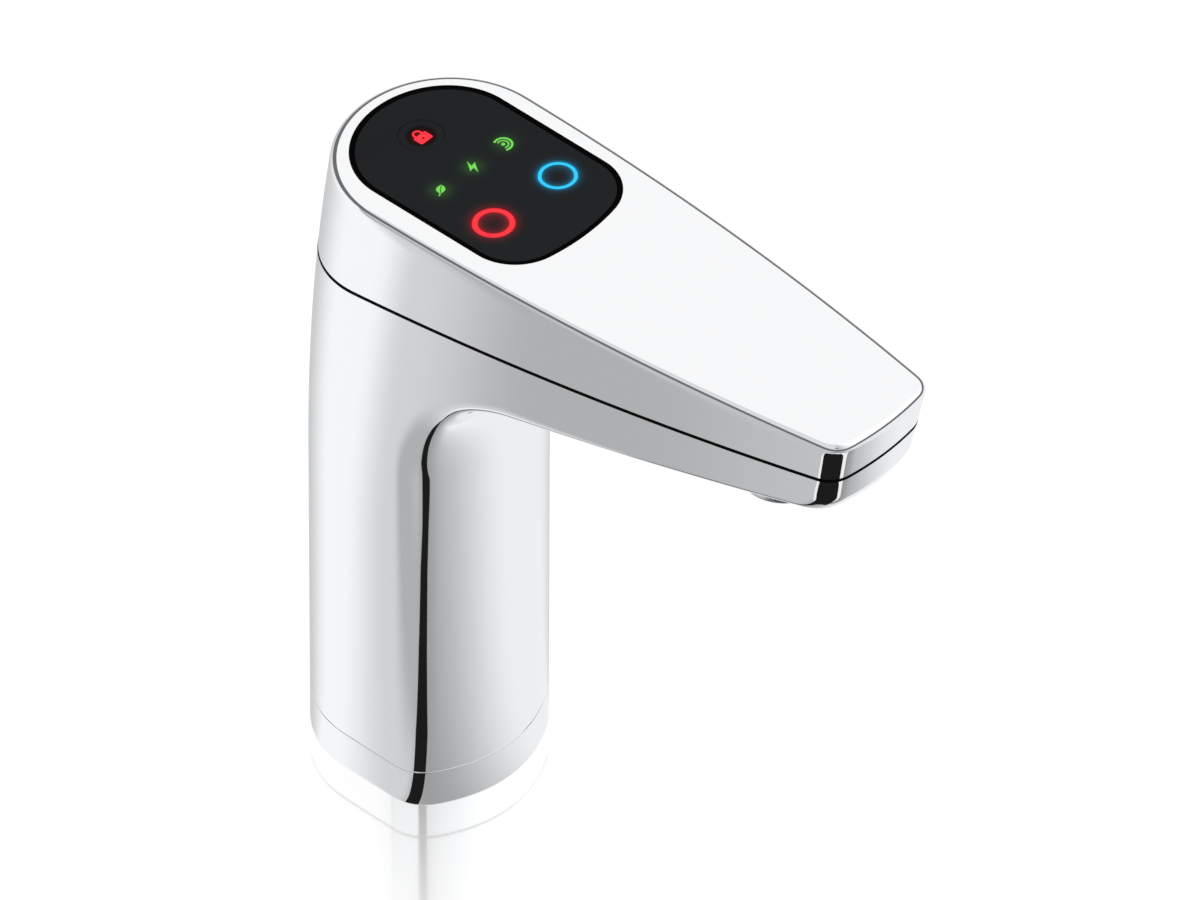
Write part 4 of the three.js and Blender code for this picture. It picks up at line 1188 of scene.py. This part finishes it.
# A darker part of the front card that the nose mirrors: reach, side, fade with distance
NOSE_SHADE, NOSE_REACH, NOSE_SIDE, NOSE_FADE = 0.45, (0.16, 0.19), (0.06, 0.15), (0.52, 0.38)
CARD_TINT = {"Red": 0.99, "Green": 1.0, "Blue": 1.015}
PLAIN_SHADES = (("studio_pale", (0.92, 0.92, 0.92)), ("studio_black", (0.012, 0.012, 0.012)),
                ("studio_dim", (0.16, 0.162, 0.165)))
FLAG = ((-0.020, -0.0135), (-0.0490, -0.0295), (-0.0735, -0.0482), (-0.0950, -0.0682),
        (-0.1024, -0.0827), (-0.1143, -0.094), (-0.134, -0.107), (-0.156, -0.098),
        (-0.240, -0.140), (-0.240, -0.280), (-0.140, -0.360), (-0.045, -0.275),
        (-0.014, -0.242), (-0.030, -0.155), (-0.066, -0.145), (-0.0862, -0.122),
        (-0.0830, -0.1005), (-0.0765, -0.0862), (-0.0590, -0.0640), (-0.0390, -0.0425))
EDGE_CARD = ((-0.130, -0.098), (-0.150, -0.083), (-0.300, -0.155), (-0.300, -0.450),
             (0.010, -0.400), (0.016, -0.242), (-0.006, -0.203), (-0.120, -0.120))
# Cards swept about the tap: compass span, (radius, height) pairs and material
SWEPT_CARDS = (
    ("studio_table", (0, 360), ((0.001, -2 * MM), (3.0, -2 * MM)), "studio_grey"),
    ("studio_ceiling", (140, 345), ((0.05, 1.3), (3.2, 1.3)), "studio_upper_grey"),
    ("studio_upper_flag", (209, 228), ((1.2, 1.29), (1.55, 1.29)), "studio_black"),
    ("studio_wall", (0, 360), ((2.9, 0.0), (2.9, 1.5)), "studio_dim"),
)
FLAT_CARDS = (("studio_flag", FLAG, -1 * MM, "studio_black"),
              ("studio_edge", EDGE_CARD, -1.5 * MM, "studio_pale"))
FLOOR_GREY, FLOOR_LIGHT, FLOOR_WHITE, FLOOR_ROUGHNESS = 0.8, 1.15, 0.9, 0.09
FLOOR_CORNERS = ((-6.0, -6.0), (6.0, -6.0), (6.0, 6.0), (-6.0, 6.0))
MIRROR_START, MIRROR_FADE, MIRROR_STRENGTH = 0.030, 0.085, 0.60
SKY_LIGHT = 0.7
LAMP_AIM = Vector((0, -0.06, 0.1))
LAMPS = (("key_softbox", (-0.9, -0.5, 1.3), 0.9, 9.0),
         ("fill_softbox", (1.1, -0.9, 0.9), 1.0, 4.0))
# The photograph's camera: direction in degrees, scale, lens and the middle of its view in mm
CAMERA_AZIMUTH, CAMERA_ELEVATION, VIEW_CENTRE = -47.1, 43.7, (44.0, 67.0)
PIXELS_PER_MM, IMAGE_WIDTH, LENS, SENSOR = 4.0, 1200, 1250.0, 36.0


class TAP_OT_stage(bpy.types.Operator):
    """White studio: floor, grey cards that the chrome mirrors, lamps and camera"""
    bl_idname = "tap.stage"
    bl_label = "Studio"

    def execute(self, context):
        context.scene.view_settings.view_transform = "Standard"
        self.floor()
        self.cards()
        self.lamps()
        self.world()
        self.camera()
        return {"FINISHED"}

    def floor(self):
        """White to the camera, with the object's shadow and its fading mirror image on it."""
        finish = StageFinish("studio_floor")
        matt = finish.add("ShaderNodeBsdfDiffuse", {}, {"Color": rgba((FLOOR_GREY,) * 3)})
        white = finish.add("ShaderNodeEmission", {}, {"Strength": FLOOR_LIGHT})
        gloss = finish.add("ShaderNodeBsdfGlossy", {}, {"Color": rgba((1.0, 1.0, 1.0)),
                                                        "Roughness": FLOOR_ROUGHNESS})
        away = finish.distance_to((0.0, 0.0, 0.0)) - MIRROR_START
        image = (away / MIRROR_FADE * -1.0).exp() * MIRROR_STRENGTH
        seen = finish.mix(image, finish.mix(FLOOR_WHITE, matt, white), gloss)
        finish.surface(finish.mix(finish.ray("Is Camera Ray"), matt, seen))
        floor = piece("studio_floor", *flat(FLOOR_CORNERS, 0.0), finish.material)
        floor.visible_glossy = False

    def cards(self):
        """Grey cards below and above, black flags on them and a dark wall at the horizon."""
        self.grey_card("studio_grey", 0.0)
        self.grey_card("studio_upper_grey", CEILING_LIFT)
        for name, shade in PLAIN_SHADES:
            finish = StageFinish(name)
            finish.surface(finish.light(rgba(shade)))
        for name, span, profile, finish in SWEPT_CARDS:
            self.card(name, *sweep(*span, profile), finish)
        for name, outline, z, finish in FLAT_CARDS:
            self.card(name, *flat(outline, z), finish)

    def grey_card(self, name, lift):
        """Shades of grey by compass direction, with a slope across the side card."""
        finish = StageFinish(name)
        x, y = (finish.add("ShaderNodeSeparateXYZ", {}, {0: finish.place()}, axis)
                for axis in "XY")

        def heading(point, start):
            """Direction in degrees as seen from a point, from start to a full turn later."""
            turn = (y - point[1]).math("ARCTAN2", y - point[1], x - point[0]) / (2 * math.pi)
            return (turn - start / 360).wrap() * 360.0 + start

        def shade_from(base, *groups):
            """The base shade with the changes of each (place, shades) added."""
            for place, shades in groups:
                for start, stop, change in shades:
                    base = place.over(start, stop) * change + base
            return base

        slant = math.radians(SIDE_HEADING)
        across = y * math.cos(slant) - x * math.sin(slant)
        middle = heading((0.0, 0.0), 40)
        side = shade_from(SIDE_SHADE, (heading(BACK_POINT, -90), BACK_SHADES),
                          (across, SIDE_SHADES))
        front = shade_from(FRONT_SHADE, (middle, FRONT_SHADES),
                           (heading(CORNER_POINT, -178), CORNER_SHADES))
        near = finish.distance_to((0.0, 0.0, 0.0)).over(*NOSE_FADE)
        nose = (y * -1.0).over(*NOSE_REACH) * (x.over(*NOSE_SIDE) - 1.0) * near * NOSE_SHADE
        shade = side + (front + nose - side) * middle.over(*SIDE_TO_FRONT) + lift
        tint = finish.add("ShaderNodeCombineColor", {},
                          {key: shade * gain for key, gain in CARD_TINT.items()})
        finish.surface(finish.light(tint))

    def card(self, name, points, faces, finish):
        card = piece(name, points, faces, bpy.data.materials[finish])
        card.visible_camera = card.visible_diffuse = card.visible_shadow = False

    def lamps(self):
        for name, spot, size, watts in LAMPS:
            data = bpy.data.lights.new(name, "AREA")
            data.shape, data.size, data.energy = "SQUARE", size, watts
            lamp = bpy.data.objects.new(name, data)
            lamp.location = spot
            lamp.rotation_euler = (Vector(spot) - LAMP_AIM).to_track_quat("Z", "Y").to_euler()
            lamp.visible_glossy = False
            bpy.context.scene.collection.objects.link(lamp)

    def world(self):
        """White to the camera and in the chrome, a little darker as light on the object."""
        world = bpy.data.worlds.new("white_studio")
        bpy.context.scene.world = world
        world.use_nodes = True
        nodes = Nodes(world.node_tree)
        seen = nodes.ray("Is Camera Ray").larger(nodes.ray("Is Glossy Ray"))
        seen = seen.larger(nodes.ray("Is Transmission Ray"))
        sky = nodes.tree.nodes["Background"]
        nodes.link(rgba((1.0, 1.0, 1.0)), sky.inputs["Color"])
        nodes.link(seen * (1.0 - SKY_LIGHT) + SKY_LIGHT, sky.inputs["Strength"])

    def camera(self):
        """A long lens at the photograph's angle, far enough off to take in 1200 pixels across at
        its scale.
        """
        distance = IMAGE_WIDTH * LENS / SENSOR / PIXELS_PER_MM
        turn = Matrix.Rotation(math.radians(CAMERA_AZIMUTH), 4, "Z") \
            @ Matrix.Rotation(math.radians(90.0 - CAMERA_ELEVATION), 4, "X")
        data = bpy.data.cameras.new("photo_camera")
        data.lens, data.sensor_width = LENS, SENSOR
        data.clip_start, data.clip_end = 0.01, 60.0
        camera = bpy.data.objects.new("photo_camera", data)
        camera.matrix_world = turn @ Matrix.Translation(Vector((*VIEW_CENTRE, distance)) * MM)
        bpy.context.scene.collection.objects.link(camera)
        bpy.context.scene.camera = camera


def flat(outline, z):
    """A level sheet with the given outline."""
    return np.array([(x, y, z) for x, y in outline]), [list(range(len(outline)))]


def sweep(start, stop, profile):
    """A sheet of (radius, height) pairs, swept between two compass directions in degrees."""
    return grid(rings(np.radians(np.linspace(start, stop, 181)), profile), False)


OPERATORS = (TAP_OT_body, TAP_OT_cover, TAP_OT_base, TAP_OT_panel, TAP_OT_keys, TAP_OT_outlet,
             TAP_OT_fixings, TAP_OT_inner_pieces, TAP_OT_stage)


class TAP_PT_sidebar(bpy.types.Panel):
    """Sizes, colours and pieces of the tap"""
    bl_idname = "TAP_PT_sidebar"
    bl_label = "Boiling water tap"
    bl_space_type = "VIEW_3D"
    bl_region_type = "UI"
    bl_category = "Tap"

    def draw(self, context):
        for group in sizes():
            box = self.layout.box()
            for name in group.bl_rna.properties.keys():
                if name not in ("rna_type", "name"):
                    box.prop(group, name)
        for operator in OPERATORS:
            self.layout.operator(operator.bl_idname)


GROUPS = (("tap_body", TapBodySizes), ("tap_panel", TapPanelSizes), ("tap_colours", TapColours))


def register():
    for _, group in GROUPS:
        bpy.utils.register_class(group)
    for kind in OPERATORS + (TAP_PT_sidebar,):
        bpy.utils.register_class(kind)
    for name, group in GROUPS:
        setattr(bpy.types.Scene, name, PointerProperty(type=group))


def unregister():
    for name, _ in GROUPS:
        delattr(bpy.types.Scene, name)
    for kind in (TAP_PT_sidebar,) + OPERATORS[::-1]:
        bpy.utils.unregister_class(kind)
    for _, group in GROUPS[::-1]:
        bpy.utils.unregister_class(group)


def main():
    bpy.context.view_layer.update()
    register()
    bpy.ops.tap.body()
    bpy.ops.tap.cover()
    bpy.ops.tap.base()
    bpy.ops.tap.panel()
    bpy.ops.tap.keys()
    bpy.ops.tap.outlet()
    bpy.ops.tap.fixings()
    bpy.ops.tap.inner_pieces()
    bpy.ops.tap.stage()


if __name__ == "__main__":
    main()
